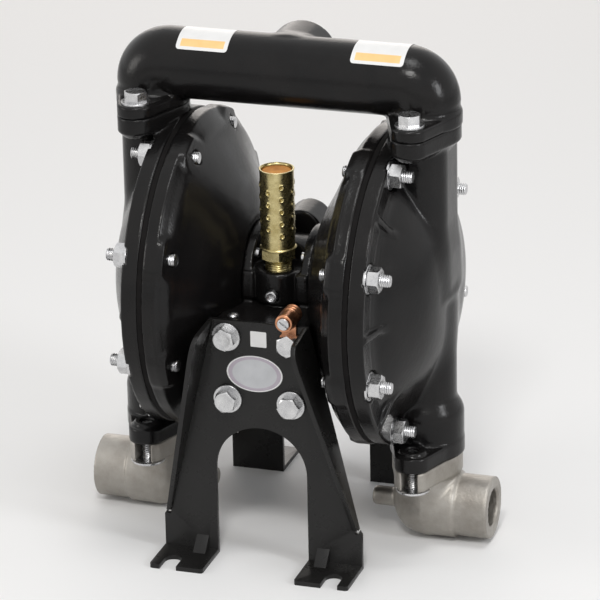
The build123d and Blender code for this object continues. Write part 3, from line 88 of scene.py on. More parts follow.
def prism(outline, depth, rounding=0.0):
    """A flat outline given a depth, with its edges rounded."""
    a, b = outline + rounding, depth + rounding
    return (
        np.minimum(np.maximum(a, b), 0.0)
        + np.sqrt(np.maximum(a, 0.0) ** 2 + np.maximum(b, 0.0) ** 2)
        - rounding
    )


def round_bar(u, v, w, r, lo, hi, rounding=1.0):
    """A round bar along w."""
    return prism(np.sqrt(u * u + v * v) - r, slab(w, lo, hi), rounding)


def uneven(u, v, r1, r2, h):
    """Two circles, r1 at the origin and r2 at v = h, joined by their tangents."""
    u = np.abs(u)
    b = (r1 - r2) / h
    a = math.sqrt(1.0 - b * b)
    k = -b * u + a * v
    low = np.sqrt(u * u + v * v) - r1
    high = np.sqrt(u * u + (v - h) ** 2) - r2
    side = u * a + v * b - r1
    return np.where(k < 0.0, low, np.where(k > a * h, high, side))


def lens(x, y, grow=0.0):
    """Two-bolt joint face: a disc about the column with an ear on each side."""
    return uneven(x - COLUMN_X, np.abs(y), JOINT_R + grow, EAR_R + grow, EAR_Y)


def polygon(px, py, points):
    """Signed distance to a closed polygon."""
    pts = np.asarray(points, np.float32)
    best = np.full(px.shape, 1e9, np.float32)
    inside = np.zeros(px.shape, bool)
    for (ax, ay), (bx, by) in zip(pts, np.roll(pts, -1, axis=0)):
        ex, ey = bx - ax, by - ay
        wx, wy = px - ax, py - ay
        t = np.clip((wx * ex + wy * ey) / (ex * ex + ey * ey + 1e-12), 0.0, 1.0)
        best = np.minimum(best, (wx - ex * t) ** 2 + (wy - ey * t) ** 2)
        if ay != by:
            crosses = ((ay > py) != (by > py)) & (px < ex * (py - ay) / ey + ax)
            inside ^= crosses
    best = np.sqrt(best)
    return np.where(inside, -best, best)


def smooth_curve(points, count):
    """Catmull-Rom points through the given ones."""
    p = [np.array(q, float) for q in points]
    p = [2 * p[0] - p[1]] + p + [2 * p[-1] - p[-2]]
    out = []
    for i in range(1, len(p) - 2):
        for k in range(count):
            t = k / count
            out.append(
                0.5 * (2 * p[i] + (p[i + 1] - p[i - 1]) * t
                + (2 * p[i - 1] - 5 * p[i] + 4 * p[i + 1] - p[i + 2]) * t * t
                + (3 * p[i] - p[i - 1] - 3 * p[i + 1] + p[i + 2]) * t ** 3)
            )
    out.append(p[-2])
    return [tuple(q) for q in out]


GRADIENT_STEP = 0.02
PULLS = 3
CORNERS = [(i, j, k) for i in (0, 1) for j in (0, 1) for k in (0, 1)]
CELL_EDGES = [
    (a, b) for a in range(8) for b in range(a + 1, 8)
    if sum(abs(CORNERS[a][n] - CORNERS[b][n]) for n in range(3)) == 1
]


def net(field, lo, hi, step):
    """A mesh of the surface where field is zero, by surface nets, then pulled onto it."""
    margin = 1.5 * step
    axes = [
        np.arange(lo[n] - margin, hi[n] + margin, step, dtype=np.float32) for n in range(3)
    ]
    gx, gy, gz = np.meshgrid(*axes, indexing="ij")
    val = field(gx, gy, gz).astype(np.float32)
    del gx, gy, gz
    nx, ny, nz = val.shape
    corner = [val[i:nx - 1 + i, j:ny - 1 + j, k:nz - 1 + k] for i, j, k in CORNERS]
    neg = np.zeros(corner[0].shape, np.int8)
    for c in corner:
        neg += c < 0
    active = (neg > 0) & (neg < 8)
    index = np.full(active.shape, -1, np.int64)
    ids = np.argwhere(active)
    index[active] = np.arange(len(ids))
    vals = np.stack([c[active] for c in corner], axis=1)
    total = np.zeros((len(ids), 3), np.float64)
    hits = np.zeros(len(ids), np.float64)
    for a, b in CELL_EDGES:
        va, vb = vals[:, a], vals[:, b]
        cross = (va < 0) != (vb < 0)
        t = np.where(cross, va / np.where(cross, va - vb, 1.0), 0.0)
        pa, pb = np.array(CORNERS[a], float), np.array(CORNERS[b], float)
        total += np.where(cross[:, None], pa + t[:, None] * (pb - pa), 0.0)
        hits += cross
    origin = np.array([ax[0] for ax in axes], float)
    verts = origin + (ids + total / hits[:, None]) * step
    quads = []
    for n in range(3):
        fwd = [slice(1, -1)] * 3
        fwd[n] = slice(0, -1)
        nxt = [slice(1, -1)] * 3
        nxt[n] = slice(1, None)
        va, vb = val[tuple(fwd)], val[tuple(nxt)]
        where = np.argwhere((va < 0) != (vb < 0))
        if not len(where):
            continue
        base = where + 1
        base[:, n] -= 1
        out = va[tuple(where.T)] < 0
        o1, o2 = (n + 1) % 3, (n + 2) % 3
        ring = []
        for d1, d2 in ((-1, -1), (0, -1), (0, 0), (-1, 0)):
            q = base.copy()
            q[:, o1] += d1
            q[:, o2] += d2
            ring.append(index[tuple(q.T)])
        ring = np.stack(ring, axis=1)
        ring[~out] = ring[~out][:, ::-1]
        quads.append(ring)
    quads = np.concatenate(quads)
    eps = GRADIENT_STEP
    for _ in range(PULLS):
        x, y, z = (verts[:, n].astype(np.float64) for n in range(3))
        f = field(x, y, z)
        g = np.stack([
            field(x + eps, y, z) - field(x - eps, y, z),
            field(x, y + eps, z) - field(x, y - eps, z),
            field(x, y, z + eps) - field(x, y, z - eps),
        ], axis=1) / (2 * eps)
        size = np.maximum((g * g).sum(1), 0.25)
        move = g * (f / size)[:, None]
        length = np.sqrt((move * move).sum(1))
        move *= np.minimum(1.0, 0.6 * step / np.maximum(length, 1e-9))[:, None]
        verts = verts - move
    return verts, quads


def mesh_object(name, verts, faces, smooth_angle=None):
    """A smooth-shaded object from points in millimetres."""
    data = bpy.data.meshes.new(name)
    faces = faces.tolist() if isinstance(faces, np.ndarray) else faces
    data.from_pydata((np.asarray(verts) * MM).tolist(), [], faces)
    data.update()
    obj = bpy.data.objects.new(name, data)
    bpy.context.scene.collection.objects.link(obj)
    data.polygons.foreach_set("use_smooth", [True] * len(data.polygons))
    if smooth_angle is not None:
        bpy.context.view_layer.objects.active = obj
        obj.select_set(True)
        bpy.ops.object.shade_smooth_by_angle(angle=math.radians(smooth_angle))
        obj.select_set(False)
    return obj


def dress(obj, node, slot, body="housing"):
    """A finished piece that stands for one CAD node."""
    obj.data.materials.clear()
    obj.data.materials.append(MAT[slot])
    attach(obj, body)
    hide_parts(node)


# ------------------------------------------------------------ materials
def new_material(name):
    """A node material with its shader and its texture coordinates."""
    mat = bpy.data.materials.new(name)
    mat.use_nodes = True
    nodes = mat.node_tree.nodes
    links = mat.node_tree.links
    bsdf = nodes["Principled BSDF"]
    coord = nodes.new("ShaderNodeTexCoord")
    return mat, nodes, links, bsdf, coord


def noise(nodes, links, coord, scale, detail, rough=0.5):
    """Noise texture in the object's own space."""
    n = nodes.new("ShaderNodeTexNoise")
    n.inputs["Scale"].default_value = scale
    n.inputs["Detail"].default_value = detail
    n.inputs["Roughness"].default_value = rough
    links.new(coord.outputs["Object"], n.inputs["Vector"])
    return n


def ramp(nodes, links, source, stops):
    """Colour ramp with one stop for each (position, colour)."""
    r = nodes.new("ShaderNodeValToRGB")
    while len(r.color_ramp.elements) < len(stops):
        r.color_ramp.elements.new(0.5)
    for e, (pos, col) in zip(r.color_ramp.elements, stops):
        e.position = pos
        e.color = (*col, 1.0)
    links.new(source, r.inputs["Fac"])
    return r


def bump(nodes, links, bsdf, layers):
    """Bump layers of (height source, strength, distance in metres), one over another."""
    previous = None
    for source, strength, distance in layers:
        b = nodes.new("ShaderNodeBump")
        b.inputs["Strength"].default_value = strength
        b.inputs["Distance"].default_value = distance
        links.new(source, b.inputs["Height"])
        if previous is not None:
            links.new(previous.outputs["Normal"], b.inputs["Normal"])
        previous = b
    links.new(previous.outputs["Normal"], bsdf.inputs["Normal"])


def grey(v):
    return (v, v, v)


def gloss_paint():
    """Black enamel over rough castings: orange peel, pinholes and small drops."""
    mat, nodes, links, bsdf, coord = new_material("gloss_black_paint")
    tone = noise(nodes, links, coord, 35.0, 3.0)
    colour = ramp(nodes, links, tone.outputs["Fac"], [
        (0.3, (0.0048, 0.0046, 0.0048)), (0.7, (0.0088, 0.0080, 0.0078))])
    links.new(colour.outputs["Color"], bsdf.inputs["Base Color"])
    wear = noise(nodes, links, coord, 90.0, 4.0, 0.6)
    gloss = ramp(nodes, links, wear.outputs["Fac"], [(0.3, grey(0.15)), (0.75, grey(0.26))])
    links.new(gloss.outputs["Color"], bsdf.inputs["Roughness"])
    bsdf.inputs["IOR"].default_value = 1.5
    bsdf.inputs["Specular IOR Level"].default_value = 0.22
    peel = noise(nodes, links, coord, 850.0, 2.5, 0.55)
    cast = noise(nodes, links, coord, 140.0, 4.0, 0.6)
    grit = nodes.new("ShaderNodeTexVoronoi")
    grit.inputs["Scale"].default_value = 520.0
    links.new(coord.outputs["Object"], grit.inputs["Vector"])
    pits = ramp(nodes, links, grit.outputs["Distance"], [(0.0, grey(1.0)), (0.22, grey(0.0))])
    bump(nodes, links, bsdf, [
        (cast.outputs["Fac"], 0.14, 0.0010),
        (peel.outputs["Fac"], 0.5, 0.00022),
        (pits.outputs["Color"], 0.12, 0.0002),
    ])
    return mat


def satin_paint():
    """Satin black paint on folded sheet."""
    mat, nodes, links, bsdf, coord = new_material("satin_black_paint")
    tone = noise(nodes, links, coord, 22.0, 4.0)
    colour = ramp(nodes, links, tone.outputs["Fac"], [
        (0.3, (0.0075, 0.0072, 0.0070)), (0.75, (0.013, 0.0125, 0.012))])
    links.new(colour.outputs["Color"], bsdf.inputs["Base Color"])
    wear = noise(nodes, links, coord, 60.0, 5.0, 0.65)
    gloss = ramp(nodes, links, wear.outputs["Fac"], [(0.3, grey(0.24)), (0.7, grey(0.34))])
    links.new(gloss.outputs["Color"], bsdf.inputs["Roughness"])
    bsdf.inputs["Specular IOR Level"].default_value = 0.3
    peel = noise(nodes, links, coord, 650.0, 2.0)
    bump(nodes, links, bsdf, [(peel.outputs["Fac"], 0.18, 0.0003)])
    return mat


def bare_casting():
    """Bare grey cast metal, sand grained, a little stained."""
    mat, nodes, links, bsdf, coord = new_material("bare_casting")
    tone = noise(nodes, links, coord, 45.0, 6.0, 0.6)
    colour = ramp(nodes, links, tone.outputs["Fac"], [
        (0.25, (0.235, 0.215, 0.190)), (0.5, (0.335, 0.315, 0.285)), (0.8, (0.43, 0.41, 0.38))])
    links.new(colour.outputs["Color"], bsdf.inputs["Base Color"])
    bsdf.inputs["Metallic"].default_value = 0.75
    fine = noise(nodes, links, coord, 260.0, 4.0, 0.6)
    rough = ramp(nodes, links, fine.outputs["Fac"], [(0.3, grey(0.36)), (0.7, grey(0.52))])
    links.new(rough.outputs["Color"], bsdf.inputs["Roughness"])
    sand = noise(nodes, links, coord, 700.0, 3.0, 0.6)
    bump(nodes, links, bsdf, [
        (fine.outputs["Fac"], 0.35, 0.0006),
        (sand.outputs["Fac"], 0.35, 0.0003),
    ])
    return mat


def plated(name, low, high, rough_lo, rough_hi):
    """Plated steel with slight clouding and handling marks."""
    mat, nodes, links, bsdf, coord = new_material(name)
    tone = noise(nodes, links, coord, 180.0, 4.0, 0.6)
    colour = ramp(nodes, links, tone.outputs["Fac"], [(0.3, low), (0.7, high)])
    links.new(colour.outputs["Color"], bsdf.inputs["Base Color"])
    bsdf.inputs["Metallic"].default_value = 1.0
    marks = noise(nodes, links, coord, 600.0, 4.0, 0.6)
    rough = ramp(nodes, links, marks.outputs["Fac"], [(0.3, grey(rough_lo)), (0.7, grey(rough_hi))])
    links.new(rough.outputs["Color"], bsdf.inputs["Roughness"])
    bump(nodes, links, bsdf, [(marks.outputs["Fac"], 0.10, 0.0002)])
    return mat


def elastomer(name, low, high, roughness, specular=0.5):
    """Rubber, plastic or film with a slight mottle and grain."""
    mat, nodes, links, bsdf, coord = new_material(name)
    tone = noise(nodes, links, coord, 120.0, 4.0)
    colour = ramp(nodes, links, tone.outputs["Fac"], [(0.3, low), (0.7, high)])
    links.new(colour.outputs["Color"], bsdf.inputs["Base Color"])
    bsdf.inputs["Roughness"].default_value = roughness
    bsdf.inputs["Specular IOR Level"].default_value = specular
    fine = noise(nodes, links, coord, 900.0, 2.0)
    bump(nodes, links, bsdf, [(fine.outputs["Fac"], 0.15, 0.0002)])
    return mat


MAT = {
    "painted_casting": gloss_paint(),
    "stand_paint": satin_paint(),
    "bare_casting": bare_casting(),
    "zinc_plated": plated("bright_zinc", (0.50, 0.50, 0.51), (0.66, 0.66, 0.66), 0.20, 0.36),
    "muffler_plated": plated(
        "yellow_chromate", (0.38, 0.31, 0.135), (0.58, 0.50, 0.26), 0.22, 0.36),
    "copper": plated("copper", (0.46, 0.20, 0.105), (0.66, 0.33, 0.19), 0.26, 0.42),
    "ground_steel": plated("ground_steel", (0.55, 0.55, 0.55), (0.65, 0.65, 0.65), 0.16, 0.25),
    "clamp_plate": plated(
        "machined_aluminium", (0.55, 0.55, 0.56), (0.68, 0.68, 0.69), 0.3, 0.42),
    "acetal": elastomer("acetal", (0.70, 0.70, 0.67), (0.80, 0.80, 0.77), 0.4),
    # The diaphragm's rubber is darkened to near black here, which paints the shade of the narrow
    # groove between the two flanges into its colour.
    "diaphragm_elastomer": elastomer(
        "diaphragm_elastomer", (0.003, 0.0027, 0.0026), (0.006, 0.005, 0.005), 0.75, 0.12),
    "ball_elastomer": elastomer("ball_elastomer", (0.20, 0.05, 0.03), (0.28, 0.08, 0.05), 0.5),
    "seal_rubber": elastomer("seal_rubber", (0.016, 0.016, 0.016), (0.03, 0.03, 0.03), 0.55),
    "muffler_element": elastomer(
        "sintered_element", (0.45, 0.17, 0.03), (0.72, 0.34, 0.08), 0.75),
}

for part in frame["record"]["subparts"]:
    cad = NODES[part["node"]]
    cad.data.materials.clear()
    cad.data.materials.append(MAT[part["material_slot"]])


# ------------------------------------------------------------ castings
# They are drawn as seen from outside, and the spaces that nothing shows are left solid.
# The last number of prism and round_bar is an edge's radius, that of smin and smax a
# fillet. slab and round_bar take the two ends between which a form runs.
DOME_DEPTH = 28.4
DOME = [(0.0, 84), (0.41, 68), (0.77, 49), (0.94, 33), (0.995, 16), (1.0, 0)]
DOME_PROFILE = [(66, 0), (66, 84), (77.0, 84)] + smooth_curve(
    [(78 + DOME_DEPTH * t, r) for t, r in DOME], 7)
CAP_FACE_X = 67.5
CAP_FLANGE_X = 78.0
CAP_RIB = [(74, 60), (74, 99.0), (79.3, 98.6), (83.8, 78), (89, 60)]
CAP_RIB_HALF = 2.0
RIBLESS_HALF_Y = 14.0
RIBLESS_FROM_R = 50.0
LOWER_COLUMN_R = 19.0
LOWER_COLUMN_Z = 70.0
UPPER_HALF_X = 17.4
UPPER_HALF_Y = 25.6
UPPER_CORNER_R = 16.2
UPPER_COLUMN_Z = 268.0
BALL_HOUSING_R = 23.5
BALL_HOUSING_Z = 97.0
HOUSING_TAPER_Z = 84.0
EAR_BOSS_R = 8.6
EAR_BOSS_Z = (60.0, 70.5)
SPOT_FACE_R = 9.9
TAP_R = 4.2


def studs(x, y, z, r, lo, hi, rounding):
    """Eight round bars on the stud circle, folded to one by symmetry."""
    dz = z - SHAFT_Z
    ang = np.arctan2(dz, y)
    rad = np.sqrt(y * y + dz * dz)
    fold = np.mod(ang, math.pi / 4) - math.pi / 8
    u = rad * np.cos(fold) - STUD_CIRCLE_R
    v = rad * np.sin(fold)
    return round_bar(u, v, x, r, lo, hi, rounding)


def fluid_cap_field(x, y, z):
    """Domed cap with its flange, ribs, valve columns, ball housing and two joint faces."""
    dz = z - SHAFT_Z
    rad = np.sqrt(y * y + dz * dz)
    flange = prism(rad - FLANGE_R, slab(x, CAP_FACE_X, CAP_FLANGE_X), 1.1)
    dome = polygon(x, rad, DOME_PROFILE)
    d = smin(flange, dome, 4.0)
    # radial ribs between the studs, none on the vertical
    ang = np.arctan2(dz, y)
    fold = np.mod(ang + math.pi / 8, math.pi / 4) - math.pi / 8
    along = rad * np.cos(fold)
    across = rad * np.sin(fold)
    rib = prism(polygon(x, along, CAP_RIB), np.abs(across) - CAP_RIB_HALF, 0.7)
    on_column = (np.abs(y) < RIBLESS_HALF_Y) & (rad > RIBLESS_FROM_R)
    rib = np.where(on_column, np.maximum(rib, 9.0), rib)
    d = smin(d, rib, 2.2)
    # round column below the shaft, wider oblong one above
    u = x - COLUMN_X
    col_r = np.sqrt(u * u + y * y)
    column = prism(col_r - LOWER_COLUMN_R, slab(z, LOWER_COLUMN_Z, SHAFT_Z), 1.0)
    d = smin(d, column, 5.5)
    qx = np.abs(u) - (UPPER_HALF_X - UPPER_CORNER_R)
    qy = np.abs(y) - (UPPER_HALF_Y - UPPER_CORNER_R)
    corner = np.sqrt(np.maximum(qx, 0) ** 2 + np.maximum(qy, 0) ** 2)
    wide = corner - UPPER_CORNER_R + np.minimum(np.maximum(qx, qy), 0)
    wide = prism(wide, slab(z, SHAFT_Z, UPPER_COLUMN_Z), 1.0)
    # its fillet grows from 2 mm at the top to 8 mm where it meets the dome
    d = smin(d, wide, 2.0 + 6.0 * np.clip((235 - z) / 40.0, 0, 1))
    # ball housing, drawn in by 6 mm at its top
    drawn_in = 6.0 * np.clip((z - HOUSING_TAPER_Z) / 12.0, 0, 1) ** 2
    housing = col_r - (BALL_HOUSING_R - drawn_in)
    d = smin(d, prism(housing, slab(z, ELBOW_JOINT_Z, BALL_HOUSING_Z), 1.2), 2.5)
    # joint faces
    ear = np.abs(y) - EAR_Y
    low = prism(lens(x, y), slab(z, ELBOW_JOINT_Z, 68), 1.1)
    boss = round_bar(u, ear, z, EAR_BOSS_R, *EAR_BOSS_Z, 1.0)
    d = smin(d, smin(low, boss, 1.5), 2.5)
    draft = np.minimum(z - 267.0, 0.0)
    high = prism(lens(x, y) - draft, slab(z, 262.7, MANIFOLD_JOINT_Z), 1.0)
    d = smin(d, high, 2.5)
    # flat face towards the diaphragm, which the two joint faces stand past
    past_face = (z < 66.5) | (z > 269.6)
    d = np.where(past_face, d, smax(d, CAP_FACE_X - x, 0.6))
    # spot faces, stud holes, tapped holes and the columns' bores
    d = smax(d, -studs(x, y, z, SPOT_FACE_R, 76.0, 99.0, 0.5), 0.5)
    d = np.maximum(d, -studs(x, y, z, BOLT_HOLE_R, 60.0, 90.0, 0.0))
    d = smax(d, -round_bar(u, ear, z, TAP_R, 50, 90, 0.2), 0.5)
    d = smax(d, -round_bar(u, ear, z, TAP_R, 250, 290, 0.2), 0.5)
    d = np.maximum(d, -round_bar(u, y, z, COLUMN_BORE_R, 40, 60, 0.2))
    d = np.maximum(d, -round_bar(u, y, z, COLUMN_BORE_R, 268, 290, 0.2))
    return d


BELL = [
    (18, 33), (22, 36), (25.5, 45), (29.5, 54), (34, 62),
    (44, 82), (48.5, 92), (53.5, 97.5), (56, 98.5),
]
BELL_PROFILE = [(18, 0)] + smooth_curve(BELL, 6) + [(60, 96), (60, 0)]
NECK_X = 22.0
AIR_FLANGE_X = (56.0, 64.5)
PAD_R = 12.4
PAD_X = (51.75, 62.0)
AIR_STUD_HOLE_R = 4.15
ROD_HOLE_R = 10.3
RECESS_R = 76.0
RECESS_X = 59.0


def air_cap_field(x, y, z):
    """Bell with its flange and eight stud pads, and a hole for the rod."""
    dz = z - SHAFT_Z
    rad = np.sqrt(y * y + dz * dz)
    d = smax(polygon(x, rad, BELL_PROFILE), NECK_X - x, 0.8)
    flange = prism(rad - FLANGE_R, slab(x, *AIR_FLANGE_X), 1.0)
    d = smin(d, flange, 5.0)
    pads = smax(studs(x, y, z, PAD_R, *PAD_X, 1.1), rad - FLANGE_R, 1.0)
    d = smin(d, pads, 5.0)
    d = np.maximum(d, -studs(x, y, z, AIR_STUD_HOLE_R, 44.0, 70.0, 0.0))
    d = np.maximum(d, -(rad - ROD_HOLE_R))
    # recess towards the diaphragm
    return np.maximum(d, -prism(rad - RECESS_R, slab(x, RECESS_X, 70.0), 0.5))


BEND_R = 12.0
OUTLET_BOSS_R = 22.0
OUTLET_END_Y = 36.0
OUTLET_THREAD_R = 14.85
OUTLET_THREAD_Y = 18.0
OUTLET_PASSAGE_R = 13.8
CROSS_BORE_R = 16.0
SEAT_RECESS_R = 17.2
OUTSIDE = 1e3


def manifold_field(x, y, z):
    """Tube bent down at both ends to the joint faces, with the outlet boss at the rear."""
    ax = np.abs(x)
    dz = z - TUBE_Z
    u = ax - COLUMN_X
    bx = ax - (COLUMN_X - BEND_R)
    bz = z - (TUBE_Z - BEND_R)
    arc = np.sqrt(np.maximum(bx, 0.0) ** 2 + np.maximum(bz, 0.0) ** 2) - BEND_R
    turn = np.where((bx > 0) & (bz > 0), np.sqrt(arc ** 2 + y * y), OUTSIDE)
    straight = np.where(bx <= 0, np.sqrt(y * y + dz * dz), OUTSIDE)
    upright = np.where(bz <= 0, np.sqrt(u * u + y * y), OUTSIDE)
    tube = np.minimum(np.minimum(turn, straight), upright + 0.25) - TUBE_R
    d = smax(tube, MANIFOLD_JOINT_Z - z, 0.6)
    flange = prism(lens(ax, y), slab(z, MANIFOLD_JOINT_Z, MANIFOLD_EAR_Z), 1.1)
    d = smin(d, flange, 4.0)
    boss = round_bar(x, dz, y, OUTLET_BOSS_R, 0.0, OUTLET_END_Y, 1.2)
    d = smin(d, boss, 4.0)
    d = smax(d, -round_bar(x, dz, y, OUTLET_THREAD_R, OUTLET_THREAD_Y, 60.0, 0.3), 0.9)
    d = np.maximum(d, -round_bar(x, dz, y, OUTLET_PASSAGE_R, 0.0, 30.0, 0.0))
    d = np.maximum(d, -round_bar(y, dz, ax, CROSS_BORE_R, -1.0, 70.0, 0.3))
    d = np.maximum(d, -round_bar(u, y, z, SEAT_RECESS_R, 270.0, 282.8, 0.0))
    holes = round_bar(u, np.abs(y) - EAR_Y, z, BOLT_HOLE_R, 270, 290, 0.0)
    return smax(d, -holes, 0.4)


ELBOW_R = 21.4
PORT_R = 20.0
STUB_R = 6.1
STUB_END_X = 52.8
COLLAR_END_X = 110.0
SLOT_HALF = 5.2
PORT_THREAD_R = 12.3
PORT_THREAD_X = 112.8
PORT_THREAD_PITCH = 1.81
PORT_THREAD_DEPTH = 0.45
PORT_PASSAGE_R = 11.2


def elbow_field(x, y, z):
    """Inlet elbow with its tapped port outboard, a blind stub inboard and slotted ears."""
    u = x - COLUMN_X
    dz = z - INLET_Z
    port_r = np.sqrt(y * y + dz * dz)
    body_r = np.sqrt(u * u + y * y)
    ball = np.sqrt(u * u + y * y + dz * dz) - ELBOW_R
    upright = prism(body_r - ELBOW_R, slab(z, INLET_Z, 56.0), 0.8)
    d = np.minimum(ball, upright)
    collar = prism(port_r - ELBOW_R, slab(x, COLUMN_X, COLLAR_END_X), 1.2)
    d = smin(d, collar, 2.0)
    port = prism(port_r - PORT_R, slab(x, COLUMN_X, PORT_END_X), 1.0)
    d = smin(d, port, 0.8)
    stub = prism(port_r - STUB_R, slab(x, STUB_END_X, COLUMN_X), 2.2)
    d = smin(d, stub, 2.5)
    ears = prism(lens(x, y, -0.6), slab(z, ELBOW_EAR_Z, ELBOW_JOINT_Z), 1.1)
    d = smin(d, ears, 2.6)
    ear = np.abs(y) - EAR_Y
    slot = np.where(ear > 0, np.abs(u), np.sqrt(u * u + ear ** 2)) - SLOT_HALF
    d = smax(d, -np.maximum(slot, slab(z, 40, 70)), 0.8)
    turns = np.mod(x / PORT_THREAD_PITCH + np.arctan2(dz, y) / (2 * math.pi), 1.0)
    grooves = PORT_THREAD_DEPTH * np.abs(2.0 * turns - 1.0) * (x < 131.0)
    tapped = round_bar(y, dz, x, PORT_THREAD_R, PORT_THREAD_X, 140.0, 0.0) + grooves
    d = smax(d, -tapped, 0.9)
    d = np.maximum(d, -round_bar(y, dz, x, PORT_PASSAGE_R, 82.5, 120.0, 0.3))
    d = np.maximum(d, -round_bar(u, y, z, COLUMN_BORE_R, INLET_Z, 70.0, 0.3))
    return d


HUB_R = 26.0
HUB_RING_R = 33.2
BLOCK_HALF = (30.0, 65.0, 30.25)
BLOCK_Z = 128.25
BLOCK_EDGE_R = 2.4
EXHAUST_BOSS_R = 14.7
EXHAUST_BOSS_Z = (160.6, 181.5)
EXHAUST_FOOT_R = 11.2
EXHAUST_TAP_R = 8.6
AIR_INLET_Z = 188.7
AIR_BOSS_R = 14.0
AIR_BOSS_Y = (20.0, 45.0)
AIR_TAP_R = 5.6
ROD_BORE_R = 11.5
PLUG_Z = 167.0
PLUG_HOLE_R = 4.0
SPOOL_Z = 98.0
COVER_SCREW = (-19.6, -57.0)
COVER_SCREW_HOLE_R = 2.0
BELL_CLEARANCE = [
    (70, 0), (22, 0), (22, 35.5), (25, 43.5), (29.5, 51.5), (34.5, 58.5), (45, 80), (70, 80),
]


def center_field(x, y, z):
    """Center body: hub between the bells, block between the stands, and both bosses."""
    dz = z - SHAFT_Z
    rad = np.sqrt(y * y + dz * dz)
    ax = np.abs(x)
    hub = prism(rad - HUB_R, slab(ax, -1, NECK_X), 1.0)
    ring = prism(rad - HUB_RING_R, slab(ax, 15.5, NECK_X), 1.0)
    d = smin(hub, ring, 3.0)
    qx = ax - BLOCK_HALF[0]
    qy = np.abs(y) - BLOCK_HALF[1]
    qz = np.abs(z - BLOCK_Z) - BLOCK_HALF[2]
    r = BLOCK_EDGE_R
    outer = [np.maximum(q + r, 0.0) for q in (qx, qy, qz)]
    block = np.sqrt(outer[0] ** 2 + outer[1] ** 2 + outer[2] ** 2) - r
    block = block + np.minimum(np.maximum(np.maximum(qx, qy), qz) + r, 0.0)
    d = smin(d, block, 4.0)
    # exhaust boss and its foot
    my = y - MUFFLER_Y
    m_r = np.sqrt(x * x + my ** 2)
    boss = prism(m_r - EXHAUST_BOSS_R, slab(z, *EXHAUST_BOSS_Z), 2.2)
    foot = prism(m_r - EXHAUST_FOOT_R, slab(z, 150, 162), 1.0)
    d = smin(d, smin(boss, foot, 2.5), 2.5)
    # arched air inlet boss at the rear, and the pads beside the exhaust boss
    az = z - AIR_INLET_Z
    arch = np.where(az > 0, np.sqrt(x * x + az ** 2), ax) - AIR_BOSS_R
    arch = prism(np.maximum(arch, 150.0 - z), slab(y, *AIR_BOSS_Y), 1.2)
    d = smin(d, arch, 3.0)
    pads = np.maximum(np.abs(y + 30) - 4.5, np.abs(z - 171) - 9)
    pads = np.maximum(np.abs(ax - 17.5) - 4.0, pads)
    d = smin(d, pads + 0.3, 2.0)
    # room for the bells and for the silencer
    d = smax(d, -polygon(ax, rad, BELL_CLEARANCE), 1.0)
    d = smax(d, -round_bar(x, my, z, 16.2, EXHAUST_BOSS_Z[1], 210.0, 0.5), 0.8)
    # rod bore, exhaust thread, air inlet thread, plug hole, spool space and screw hole
    d = np.maximum(d, -prism(rad - ROD_BORE_R, slab(x, -30, 30), 0.0))
    d = np.maximum(d, -round_bar(x, my, z, EXHAUST_TAP_R, 168.5, 200.0, 0.2))
    d = np.maximum(d, -round_bar(x, az, y, AIR_TAP_R, 30.0, 60.0, 0.2))
    d = np.maximum(d, -round_bar(x, z - PLUG_Z, -y, PLUG_HOLE_R, 33.0, 50.0, 0.2))
    core = np.maximum(np.maximum(ax - 23.0, np.abs(y) - 46.0), np.abs(z - SPOOL_Z) - 20.0)
    d = smax(d, -core, 1.0)
    screw_r = np.sqrt((x - COVER_SCREW[0]) ** 2 + (y - COVER_SCREW[1]) ** 2)
    below = np.maximum(153.9 - z, 0.0)
    return np.maximum(d, COVER_SCREW_HOLE_R - screw_r - below * 9)


def both_sides(base, field, lo, hi, slot, turned):
    """The right piece and its left twin, turned half round or mirrored."""
    verts, quads = net(field, lo, hi, SHELL_STEP)
    for side in ("right", "left"):
        v, q = verts.copy(), quads
        if side == "left":
            v[:, 0] *= -1
            if turned:
                v[:, 1] *= -1
            else:
                q = quads[:, ::-1]
        dress(mesh_object(f"{base}_{side}_casting", v, q), f"{base}_{side}", slot)


both_sides("fluid_cap", fluid_cap_field, (64, -102, 57), (117, 102, 278), "painted_casting", True)
both_sides("air_cap", air_cap_field, (21, -102, 66), (65.5, 102, 270), "painted_casting", False)
both_sides("inlet_elbow", elbow_field, (52, -45, 0), (133, 45, 59), "bare_casting", True)
v, q = net(manifold_field, (-112, -45, 276), (112, 45, 326), SHELL_STEP)
dress(mesh_object("outlet_manifold_casting", v, q), "outlet_manifold", "painted_casting")
v, q = net(center_field, (-31, -66, 97), (31, 66, 204), SHELL_STEP)
dress(mesh_object("center_body_casting", v, q), "center_body", "painted_casting")


# ------------------------------------------------------------ turned and threaded pieces
class Builder:
    """Collects several closed meshes, each in its place, into one object."""

    def __init__(self):
        self.verts = []
        self.faces = []

    def add(self, verts, faces, place=None):
        start = len(self.verts)
        for p in verts:
            p = Vector(p)
            self.verts.append(tuple(place @ p if place is not None else p))
        self.faces.extend([tuple(i + start for i in f) for f in faces])

    def object(self, name, angle=30.0):
        obj = mesh_object(name, self.verts, self.faces, smooth_angle=angle)
        bm = bmesh.new()
        bm.from_mesh(obj.data)
        bmesh.ops.recalc_face_normals(bm, faces=bm.faces)
        bm.to_mesh(obj.data)
        bm.free()
        return obj


def circle_ring(verts, r, z, count):
    """Adds a ring of points and gives their numbers."""
    start = len(verts)
    for k in range(count):
        a = 2 * math.pi * k / count
        verts.append((r * math.cos(a), r * math.sin(a), z))
    return list(range(start, start + count))


def join_rings(faces, a, b):
    """Adds the band of faces between two rings of points."""
    for k in range(len(a)):
        n = (k + 1) % len(a)
        faces.append((a[k], a[n], b[n], b[k]))


